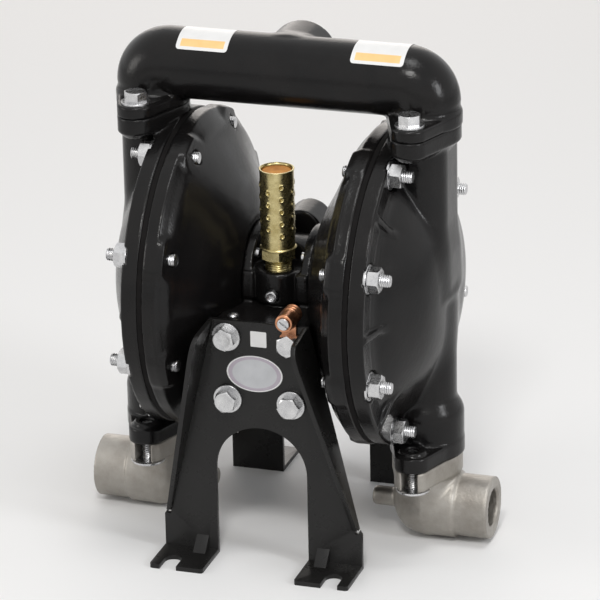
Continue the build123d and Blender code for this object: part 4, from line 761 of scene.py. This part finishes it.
def lathe(profile, segments):
    """Profile of (radius, height) turned about Z. A radius of 0 closes the end."""
    verts, faces, rings = [], [], []
    for r, h in profile:
        if r > 0:
            rings.append(circle_ring(verts, r, h, segments))
        else:
            rings.append([len(verts)])
            verts.append((0.0, 0.0, h))
    pairs = list(zip(rings, rings[1:]))
    if len(rings[0]) > 1 and len(rings[-1]) > 1:
        pairs.append((rings[-1], rings[0]))
    for a, b in pairs:
        if len(a) == len(b):
            join_rings(faces, a, b)
        for k in range(segments):
            n = (k + 1) % segments
            if len(a) < len(b):
                faces.append((a[0], b[k], b[n]))
            elif len(b) < len(a):
                faces.append((a[k], a[n], b[0]))
    return verts, faces


PITCH = 1.41
ROWS_PER_TURN = 6
CREST = 0.12
END_CHAMFER = 0.7


def thread(r, z0, z1, depth, segments=24):
    """A threaded rod along Z, closed at both ends."""
    rows = int(math.ceil((z1 - z0) / PITCH * ROWS_PER_TURN))
    verts, faces = [], []
    for i in range(rows + 1):
        z = z0 + (z1 - z0) * i / rows
        edge = min(z - z0, z1 - z)
        for k in range(segments):
            a = 2 * math.pi * k / segments
            phase = ((z - z0) / PITCH - k / segments) % 1.0
            tri = abs(phase * 2 - 1)
            rr = r - depth * min(max((tri - CREST) / (1 - 2 * CREST), 0), 1)
            rr = min(rr, r - depth + max(edge, 0) * depth / END_CHAMFER)
            verts.append((rr * math.cos(a), rr * math.sin(a), z))
    for i in range(rows):
        for k in range(segments):
            n = (k + 1) % segments
            a, b = i * segments, (i + 1) * segments
            faces.append((a + k, a + n, b + n, b + k))
    faces.append(tuple(reversed(range(segments))))
    faces.append(tuple(range(rows * segments, (rows + 1) * segments)))
    return verts, faces


HEX_POINTS = 36
FACE_SHARE = 0.985
HOLE_CHAMFER = 0.35


def hexagon(af, h, hole=0.0, top=True, bottom=False, dish=0.0):
    """A hexagon whose corners are chamfered at the ends, as on a lathe."""
    count = HEX_POINTS
    apothem = af / 2
    face_r = apothem * FACE_SHARE
    slope = math.tan(math.radians(30))
    verts, faces = [], []

    def ring(height):
        start = len(verts)
        for k in range(count):
            a = 2 * math.pi * k / count
            r = apothem / math.cos(a % (math.pi / 3) - math.pi / 6)
            drop = max(r - face_r, 0) * slope
            verts.append((r * math.cos(a), r * math.sin(a), height(drop)))
        return list(range(start, start + count))

    if bottom:
        rings = [circle_ring(verts, face_r, 0.0, count), ring(lambda drop: drop)]
    else:
        rings = [ring(lambda drop: 0.0)]
    if top:
        rings += [ring(lambda drop: h - drop), circle_ring(verts, face_r, h, count)]
    else:
        rings.append(ring(lambda drop: h))
    if hole > 0:
        mouth = hole + HOLE_CHAMFER
        for r, z in ((mouth, h), (hole, h - HOLE_CHAMFER), (hole, HOLE_CHAMFER), (mouth, 0.0)):
            rings.append(circle_ring(verts, r, z, count))
        pairs = list(zip(rings, rings[1:])) + [(rings[-1], rings[0])]
    else:
        if dish > 0:
            rings.append(circle_ring(verts, apothem * 0.8, h, count))
            rings.append(circle_ring(verts, apothem * 0.68, h - dish, count))
        pairs = list(zip(rings, rings[1:]))
        faces.append(tuple(rings[-1]))
        faces.append(tuple(reversed(rings[0])))
    for a, b in pairs:
        join_rings(faces, a, b)
    return verts, faces


WASHER_R = 9.2
WASHER_HOLE_R = 4.15
WASHER_EDGE = 0.22


def washer(t):
    """A flat washer of the given thickness, its outer edges broken."""
    r, hole, e = WASHER_R, WASHER_HOLE_R, WASHER_EDGE
    return lathe([(hole, 0), (r - e, 0), (r, e), (r, t - e), (r - e, t), (hole, t)], 40)


def facing(direction, at, spin=0.0):
    """Placement whose +Z points along direction."""
    turn = Vector((0, 0, 1)).rotation_difference(Vector(direction)).to_matrix().to_4x4()
    return Matrix.Translation(Vector(at)) @ turn @ Matrix.Rotation(spin, 4, "Z")


STUD_R = 3.95
STUD_SPAN = (46.7, 91.0)
NUT_AF = 14.28
NUT_H = 7.35
BOLT_AF = 12.7
BOLT_DISH = 0.25
BOLT_DEPTH = 0.6

stud_rods, nuts, washers = Builder(), Builder(), Builder()
for s in (-1, 1):
    for i, a in enumerate(STUD_ANGLES):
        y = -STUD_CIRCLE_R * math.cos(a)
        z = SHAFT_Z + STUD_CIRCLE_R * math.sin(a)
        spin = (i * 1.7 + (s > 0) * 0.6) % (math.pi / 3)
        outward = (s, 0, 0)
        stud_rods.add(*thread(STUD_R, *STUD_SPAN, 0.62), facing(outward, (0, y, z), spin))
        washers.add(*washer(1.6), facing(outward, (s * 76.0, y, z)))
        nuts.add(
            *hexagon(NUT_AF, NUT_H, hole=3.99, bottom=True),
            facing(outward, (s * 77.6, y, z), spin))
dress(stud_rods.object("stud_threads"), "flange_studs", "zinc_plated")
dress(nuts.object("stud_nuts"), "flange_nuts", "zinc_plated")
dress(washers.object("stud_washers"), "flange_washers", "zinc_plated")

EAR_SITES = [(x, y) for x in (-COLUMN_X, COLUMN_X) for y in (-EAR_Y, EAR_Y)]
CLAMP_HEAD = [
    (0, 0), (9.6, 0), (10.9, 0.5), (11.0, 1.2), (10.7, 1.9),
    (8.4, 2.4), (7.6, 3.3), (6.4, 3.58), (0, 3.6),
]
UP = (0, 0, 1)
heads, rings, clamps = Builder(), Builder(), Builder()
for n, (x, y) in enumerate(EAR_SITES):
    rings.add(*washer(1.5), facing(UP, (x, y, MANIFOLD_EAR_Z)))
    heads.add(*hexagon(BOLT_AF, 6.25, dish=BOLT_DISH), facing(UP, (x, y, 286.0), n * 0.35))
    heads.add(*thread(STUD_R, 264.2, 286.2, BOLT_DEPTH), facing(UP, (x, y, 0)))
    clamps.add(*lathe(CLAMP_HEAD, 48), facing((0, 0, -1), (x, y, ELBOW_EAR_Z)))
    clamps.add(*thread(STUD_R, 44.9, 69.0, BOLT_DEPTH), facing(UP, (x, y, 0)))
dress(heads.object("outlet_bolt_heads"), "outlet_bolts", "zinc_plated")
dress(rings.object("outlet_bolt_washers"), "outlet_washers", "zinc_plated")
dress(clamps.object("inlet_clamp_bolts"), "inlet_bolts", "zinc_plated")

STAND_SITES = [(x, z) for x in (-20.7, 20.7) for z in (107.7, 149.2)]
LUG_X, LUG_Z = STAND_SITES[3]
heads, rings = Builder(), Builder()
for s in (-1, 1):
    for n, (x, z) in enumerate(STAND_SITES):
        place = facing((0, s, 0), (x, s * 69.6, z), 0.3 + n * 0.41)
        heads.add(*hexagon(BOLT_AF, 6.35, dish=BOLT_DISH), place)
        heads.add(*thread(STUD_R, -17.0, 0.2, BOLT_DEPTH), place)
        # the ground lug's strap takes the place of one front washer
        if not (s < 0 and (x, z) == (LUG_X, LUG_Z)):
            rings.add(*washer(1.55), facing((0, s, 0), (x, s * STAND_FACE_Y, z)))
dress(heads.object("stand_bolt_heads"), "stand_bolts", "zinc_plated")
dress(rings.object("stand_bolt_washers"), "stand_washers", "zinc_plated")


# ------------------------------------------------------------ stands
SHEET_EDGE_R = 0.0006


def edge_copy(node, name):
    """The CAD sheet with its edges broken."""
    obj = bpy.data.objects.new(name, NODES[node].data.copy())
    bpy.context.scene.collection.objects.link(obj)
    bm = bmesh.new()
    bm.from_mesh(obj.data)
    bmesh.ops.remove_doubles(bm, verts=bm.verts, dist=1e-6)
    bmesh.ops.dissolve_limit(
        bm, angle_limit=math.radians(1.0), verts=bm.verts, edges=bm.edges)
    bm.to_mesh(obj.data)
    bm.free()
    mod = obj.modifiers.new("edge", "BEVEL")
    mod.width = SHEET_EDGE_R
    mod.segments = 3
    mod.limit_method = "ANGLE"
    mod.angle_limit = math.radians(35)
    bpy.context.view_layer.objects.active = obj
    obj.select_set(True)
    bpy.ops.object.modifier_apply(modifier=mod.name)
    bpy.ops.object.shade_smooth_by_angle(angle=math.radians(40))
    obj.select_set(False)
    return obj


for node in ("stand_front", "stand_rear"):
    dress(edge_copy(node, node + "_sheet"), node, "stand_paint")


# ------------------------------------------------------------ exhaust silencer
CAN_R = 10.7
CAN_Z = (196.0, 246.2)
CAN_AROUND = 192
CAN_ROWS = 150
DIMPLE_TURN = 31.8
DIMPLE_R = 1.0
DIMPLE_DEPTH = 1.1
LIP_R = 1.55
LIP_WIDTH = 0.55
LIP_HEIGHT = 0.5
LIP_REACH = 3.2
DIMPLES = [
    (column, 205.2 + 4.15 * (column % 2) + 8.0 * row)
    for column in range(8) for row in range(5 - column % 2)
]
# rolled rim, then the inner wall down to the bottom
RIM = [
    (CAN_R + 0.35, 246.35), (CAN_R + 0.45, 246.7), (CAN_R + 0.2, 247.0),
    (CAN_R - 0.35, 247.0), (CAN_R - 0.9, 246.6), (CAN_R - 1.15, 245.6),
    (CAN_R - 1.15, 240.0), (CAN_R - 1.15, 197.0),
]


def can_radius(a, z):
    """The can's radius at an angle and a height, with the punched dimple that is there."""
    for column, dimple_z in DIMPLES:
        at = math.radians(45 * column - 90 + DIMPLE_TURN)
        da = (a - at + math.pi) % (2 * math.pi) - math.pi
        d = math.hypot(da * CAN_R, z - dimple_z)
        if d < LIP_REACH:
            lip = math.exp(-((d - LIP_R) / LIP_WIDTH) ** 2) * LIP_HEIGHT
            sink = DIMPLE_DEPTH * max(0.0, 1 - (d / DIMPLE_R) ** 2)
            return CAN_R + lip - sink
    return CAN_R


def can_mesh():
    """Thin can with punched dimples whose lips stand proud, and a rolled rim."""
    z0, z1 = CAN_Z
    heights = [z0 + (z1 - z0) * i / CAN_ROWS for i in range(CAN_ROWS + 1)]
    verts, faces, rings = [], [], []
    for plain_r, z in [(None, z) for z in heights] + RIM:
        rings.append(list(range(len(verts), len(verts) + CAN_AROUND)))
        for k in range(CAN_AROUND):
            a = 2 * math.pi * k / CAN_AROUND
            r = plain_r or can_radius(a, z)
            verts.append((r * math.cos(a), r * math.sin(a) + MUFFLER_Y, z))
    for a, b in zip(rings, rings[1:] + rings[:1]):
        join_rings(faces, a, b)
    return verts, faces


can = Builder()
can.add(*can_mesh())
dress(can.object("silencer_can", 40), "muffler_can", "muffler_plated")

COLLAR = [
    (0, 194.3), (CAN_R + 0.2, 194.3), (CAN_R + 0.95, 194.9),
    (CAN_R + 0.95, 195.5), (CAN_R + 0.2, 196.2), (0, 196.2),
]
ELEMENT = [(0, 200), (9.4, 200), (9.4, 244.6), (9.0, 245.4), (7.6, 245.6), (0, 245.3)]
at_muffler = Matrix.Translation((0, MUFFLER_Y, 0))
fit = Builder()
fit.add(*thread(8.5, 170.0, 188.2, 0.62, 48), at_muffler)
fit.add(*hexagon(20.6, 6.7, top=False, bottom=True), facing(UP, (0, MUFFLER_Y, 188.0), 0.87))
fit.add(*lathe(COLLAR, 64), at_muffler)
dress(fit.object("silencer_fitting"), "muffler_fitting", "muffler_plated")

core = Builder()
core.add(*lathe(ELEMENT, 64), at_muffler)
dress(core.object("silencer_element"), "muffler_element", "muffler_element")

# ------------------------------------------------------------ small hardware
PLUG = [
    (0, -5.2), (3.9, -5.2), (3.9, 1.4), (3.5, 2.1), (2.75, 2.2), (2.3, 1.9), (2.3, -0.8), (0, -1.2),
]
PAN_HEAD = [(0, 0.05), (3.5, 0.05), (3.6, 0.9), (3.1, 1.7), (2.0, 2.25), (0, 2.38)]
PAN_SHANK = [(0, -4.3), (1.9, -4.3), (1.9, 0.2), (0, 0.2)]
plug = Builder()
plug.add(*lathe(PLUG, 48), facing((0, -1, 0), (0, MUFFLER_Y - EXHAUST_BOSS_R, PLUG_Z)))
dress(plug.object("boss_plug"), "socket_plug", "zinc_plated")

at_screw = Matrix.Translation((*COVER_SCREW, 158.5))
pan = Builder()
pan.add(*lathe(PAN_HEAD, 32), at_screw)
pan.add(*lathe(PAN_SHANK, 20), at_screw)
dress(pan.object("block_screw"), "cover_screw", "zinc_plated")

BARREL_Z = 166.2
BARREL_R = 5.75
GROOVE_PITCH = 3.1


def lug_field(x, y, z):
    """Ground lug: a strap under the stand bolt's head and a grooved barrel above it."""
    dx = x - LUG_X
    low = np.sqrt(dx * dx + (z - LUG_Z) ** 2)
    tongue = np.maximum(np.abs(dx) - 4.6 - 0.02 * (z - LUG_Z), np.abs(z - 156.5) - 7.5)
    strap = np.maximum(np.minimum(low - 7.5, tongue), WASHER_HOLE_R - low)
    strap = prism(strap, slab(y, -69.58, -68.02), 0.3)
    dz = z - BARREL_Z
    rad = np.sqrt(dx * dx + dz * dz)
    turns = 0.42 * np.cos((y + 62.6) * 2 * math.pi / GROOVE_PITCH) * (np.abs(y + 65) < 5.4)
    barrel = prism(rad - BARREL_R + turns * 0.8, slab(y, -79.95, -60.05), 0.9)
    d = smin(strap, barrel, 1.6)
    return smax(d, -round_bar(dx, dz, -y, 3.95, 72.0, 90.0, 0.0), 0.5)


v, q = net(lug_field, (12.5, -81, 141), (29, -59, 173), 0.42)
dress(mesh_object("ground_lug_body", v, q), "ground_lug", "copper")

SLOT_TURN = math.radians(-35)


def slot_screw_field(x, y, z):
    """Round screw in the lug's barrel with a slot across its end."""
    dx, dz = x - LUG_X, z - BARREL_Z
    head = prism(np.sqrt(dx * dx + dz * dz) - 3.86, slab(y, -81.2, -72.2), 0.5)
    across = -dx * math.sin(SLOT_TURN) + dz * math.cos(SLOT_TURN)
    return smax(head, -np.maximum(np.abs(across) - 0.55, np.abs(y + 82) - 2.2), 0.25)


v, q = net(slot_screw_field, (16, -82, 161.5), (25.5, -71.5, 171), 0.28)
dress(mesh_object("ground_lug_slotted_screw", v, q), "ground_lug_screw", "zinc_plated")


# ------------------------------------------------------------ blank labels
FILM = 0.12
LABEL_R = 22.48
LABEL_START = math.radians(39.5)
LABEL_LENGTH = 33.0
LABEL_CORNER = 2.2
LABEL_BAND = (2.2, 7.9)
LABEL_BACK_Y = -68.01
LABEL_WHITE = elastomer("label_white", (0.74, 0.74, 0.735), (0.79, 0.79, 0.785), 0.30)
LABEL_ORANGE = elastomer("label_orange", (0.84, 0.54, 0.22), (0.90, 0.60, 0.27), 0.30)
LABEL_LILAC = elastomer("label_lilac", (0.42, 0.37, 0.43), (0.48, 0.43, 0.49), 0.26)
LABEL_SILVER = elastomer("label_silver", (0.50, 0.51, 0.53), (0.57, 0.58, 0.60), 0.26)


def stick(build, name, materials, kinds):
    """Label object whose faces take the material listed in kinds."""
    obj = build.object(name, 40)
    for material in materials:
        obj.data.materials.append(material)
    for face, kind in zip(obj.data.polygons, kinds):
        face.material_index = kind
    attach(obj, "housing")


def tube_label(name, x0, x1):
    """White film bent over the manifold, with rounded corners and one plain band."""
    r, length, corner = LABEL_R, LABEL_LENGTH, LABEL_CORNER
    band_start, band_end = LABEL_BAND
    soft = [0.0, 0.12, 0.45, 1.1, corner]
    in_band = list(np.linspace(band_start, band_end, 4))[1:]
    past_band = list(np.linspace(band_end, length - corner, 12))[1:-1]
    arcs = soft + in_band + past_band + [length - v for v in reversed(soft)]
    width = x1 - x0
    steps = [0.0, 2.6, width / 3, 2 * width / 3, width - 2.5, width]
    build = Builder()
    rows, cols = len(arcs), len(steps)
    for layer in (0.0, FILM):
        for s in arcs:
            edge = corner - min(s, length - s, corner)
            inset = corner - math.sqrt(corner ** 2 - edge ** 2)
            a = LABEL_START + s / r
            for t in steps:
                x = x0 + inset + t * (width - 2 * inset) / width
                out = r + layer
                build.verts.append((x, -out * math.cos(a), TUBE_Z + out * math.sin(a)))
    size = rows * cols
    kinds = []
    for i in range(rows - 1):
        for j in range(cols - 1):
            a, b = i * cols + j, (i + 1) * cols + j
            build.faces.append((a, b, b + 1, a + 1))
            build.faces.append((a + size, a + 1 + size, b + 1 + size, b + size))
            banded = band_start <= (arcs[i] + arcs[i + 1]) / 2 <= band_end
            kinds += [0, int(0 < j < cols - 2 and banded)]
    edge = [i * cols for i in range(rows)] + [(rows - 1) * cols + j for j in range(1, cols)]
    edge += [i * cols + cols - 1 for i in range(rows - 2, -1, -1)] + list(range(cols - 2, 0, -1))
    for a, b in zip(edge, edge[1:] + edge[:1]):
        build.faces.append((a, b, b + size, a + size))
        kinds.append(0)
    stick(build, name, [LABEL_WHITE, LABEL_ORANGE], kinds)


def plate_label(name, outline, rings, materials):
    """Flat film on the front stand. The outline is scaled to each share in rings."""
    cx = sum(p[0] for p in outline) / len(outline)
    cz = sum(p[1] for p in outline) / len(outline)
    count = len(outline)
    build, kinds = Builder(), []
    layers = [(LABEL_BACK_Y, 1.0)] + [(LABEL_BACK_Y - FILM, share) for share in rings]
    for y, share in layers:
        for x, z in outline:
            build.verts.append((cx + (x - cx) * share, y, cz + (z - cz) * share))
    for level in range(len(rings)):
        for k in range(count):
            n = (k + 1) % count
            a, b = level * count, (level + 1) * count
            build.faces.append((a + k, a + n, b + n, b + k))
            kinds.append(max(level - 1, 0))
    build.faces.append(tuple(range(count)))
    build.faces.append(tuple(range(len(rings) * count, (len(rings) + 1) * count)))
    kinds += [0, len(rings) - 1]
    stick(build, name, materials, kinds)


def corner_points(x0, z0, x1, z1, r):
    """Outline of a rectangle with rounded corners."""
    points = []
    centres = [
        (x1 - r, z1 - r, 0), (x0 + r, z1 - r, 90), (x0 + r, z0 + r, 180), (x1 - r, z0 + r, 270),
    ]
    for cx, cz, turn in centres:
        for k in range(5):
            a = math.radians(turn + 22.5 * k)
            points.append((cx + r * math.cos(a), cz + r * math.sin(a)))
    return points


tube_label("blank_label_left", -66.9, -33.4)
tube_label("blank_label_right", 46.0, 80.0)
square = corner_points(-5.0, 144.2, 5.4, 154.5, 0.5)
plate_label("blank_square_label", square, [1.0], [LABEL_WHITE])
oval = [
    (-2.8 + 18.25 * math.cos(a), 126.0 + 12.0 * math.sin(a))
    for a in np.linspace(0, 2 * math.pi, 65)[:-1]
]
plate_label(
    "blank_oval_label", oval, [1.0, 0.945, 0.80], [LABEL_WHITE, LABEL_LILAC, LABEL_SILVER])


# ------------------------------------------------------------ camera, light, floor
CAM_AZ = math.radians(18.27)
CAM_EL = math.radians(21.42)
CAM_ROLL = math.radians(-1.18)
CAM_TARGET = Vector((0.00536, 0.0, 0.1503))
CAM_DISTANCE = 2.6003
CAM_LENS = 246.8


def photo_camera():
    """The photograph's viewpoint, fitted by its azimuth, elevation, roll and distance."""
    flat = math.cos(CAM_EL)
    back = Vector((math.sin(CAM_AZ) * flat, -math.cos(CAM_AZ) * flat, math.sin(CAM_EL)))
    right = Vector((math.cos(CAM_AZ), math.sin(CAM_AZ), 0))
    up = back.cross(right)
    rolled_right = math.cos(CAM_ROLL) * right + math.sin(CAM_ROLL) * up
    rolled_up = -math.sin(CAM_ROLL) * right + math.cos(CAM_ROLL) * up
    data = bpy.data.cameras.new("photo_camera")
    data.lens = CAM_LENS
    data.sensor_width = 36.0
    data.sensor_fit = "HORIZONTAL"
    data.clip_end = 50.0
    cam = bpy.data.objects.new("photo_camera", data)
    rot = Matrix((rolled_right, rolled_up, back)).transposed().to_4x4()
    cam.matrix_world = Matrix.Translation(CAM_TARGET + back * CAM_DISTANCE) @ rot
    bpy.context.scene.collection.objects.link(cam)
    bpy.context.scene.camera = cam


def area_lamp(name, at, aim, size, power, colour=(1, 1, 1), size_y=None):
    """A rectangular lamp at one point, aimed at another."""
    data = bpy.data.lights.new(name, "AREA")
    data.energy = power
    data.color = colour
    data.shape = "RECTANGLE"
    data.size = size
    data.size_y = size_y or size
    lamp = bpy.data.objects.new(name, data)
    turn = (Vector(at) - Vector(aim)).to_track_quat("Z", "Y").to_matrix().to_4x4()
    lamp.matrix_world = Matrix.Translation(Vector(at)) @ turn
    bpy.context.scene.collection.objects.link(lamp)


photo_camera()
area_lamp("key", (0.32, -1.5, 1.87), (0, 0, 0.16), 0.34, 15, (1.0, 0.985, 0.96))
area_lamp("side_left", (-1.9, -0.9, 0.7), (0, 0, 0.16), 0.8, 8, (1.0, 0.97, 0.93))
area_lamp("fill_right", (1.8, -0.6, 0.9), (0, 0, 0.16), 0.4, 11, (0.97, 0.98, 1.0), 0.7)
area_lamp("top", (0.27, -0.3, 2.25), (0, 0, 0.2), 0.7, 11)
area_lamp("back_rim", (-0.6, 1.8, 0.8), (0, 0, 0.2), 1.2, 5, (1.0, 0.9, 0.82))

# white where the camera and reflections see it, dimmer as a light on the object
ROOM_LEVEL = 0.45
world = bpy.data.worlds.new("studio")
bpy.context.scene.world = world
world.use_nodes = True
world_nodes, world_links = world.node_tree.nodes, world.node_tree.links
background = world_nodes["Background"]
background.inputs["Color"].default_value = (1, 1, 1, 1)
path = world_nodes.new("ShaderNodeLightPath")
camera_or_gloss = world_nodes.new("ShaderNodeMath")
camera_or_gloss.operation = "MAXIMUM"
world_links.new(path.outputs["Is Camera Ray"], camera_or_gloss.inputs[0])
world_links.new(path.outputs["Is Glossy Ray"], camera_or_gloss.inputs[1])
seen = world_nodes.new("ShaderNodeMath")
seen.operation = "MAXIMUM"
world_links.new(camera_or_gloss.outputs[0], seen.inputs[0])
world_links.new(path.outputs["Is Transmission Ray"], seen.inputs[1])
level = world_nodes.new("ShaderNodeMapRange")
level.inputs["To Min"].default_value = ROOM_LEVEL
level.inputs["To Max"].default_value = 1.0
world_links.new(seen.outputs[0], level.inputs["Value"])
world_links.new(level.outputs["Result"], background.inputs["Strength"])

FLOOR_HALF = 6.0
floor_mesh = bpy.data.meshes.new("floor")
floor_corners = [
    (x * FLOOR_HALF, y * FLOOR_HALF, 0) for x, y in ((-1, -1), (1, -1), (1, 1), (-1, 1))
]
floor_mesh.from_pydata(floor_corners, [], [(0, 1, 2, 3)])
floor = bpy.data.objects.new("floor", floor_mesh)
bpy.context.scene.collection.objects.link(floor)
floor_mat = bpy.data.materials.new("floor")
floor_mat.use_nodes = True
floor_shader = floor_mat.node_tree.nodes["Principled BSDF"]
floor_shader.inputs["Base Color"].default_value = (0.86, 0.86, 0.86, 1)
floor_shader.inputs["Roughness"].default_value = 0.7
floor_mesh.materials.append(floor_mat)

bpy.context.scene.view_settings.view_transform = "Standard"
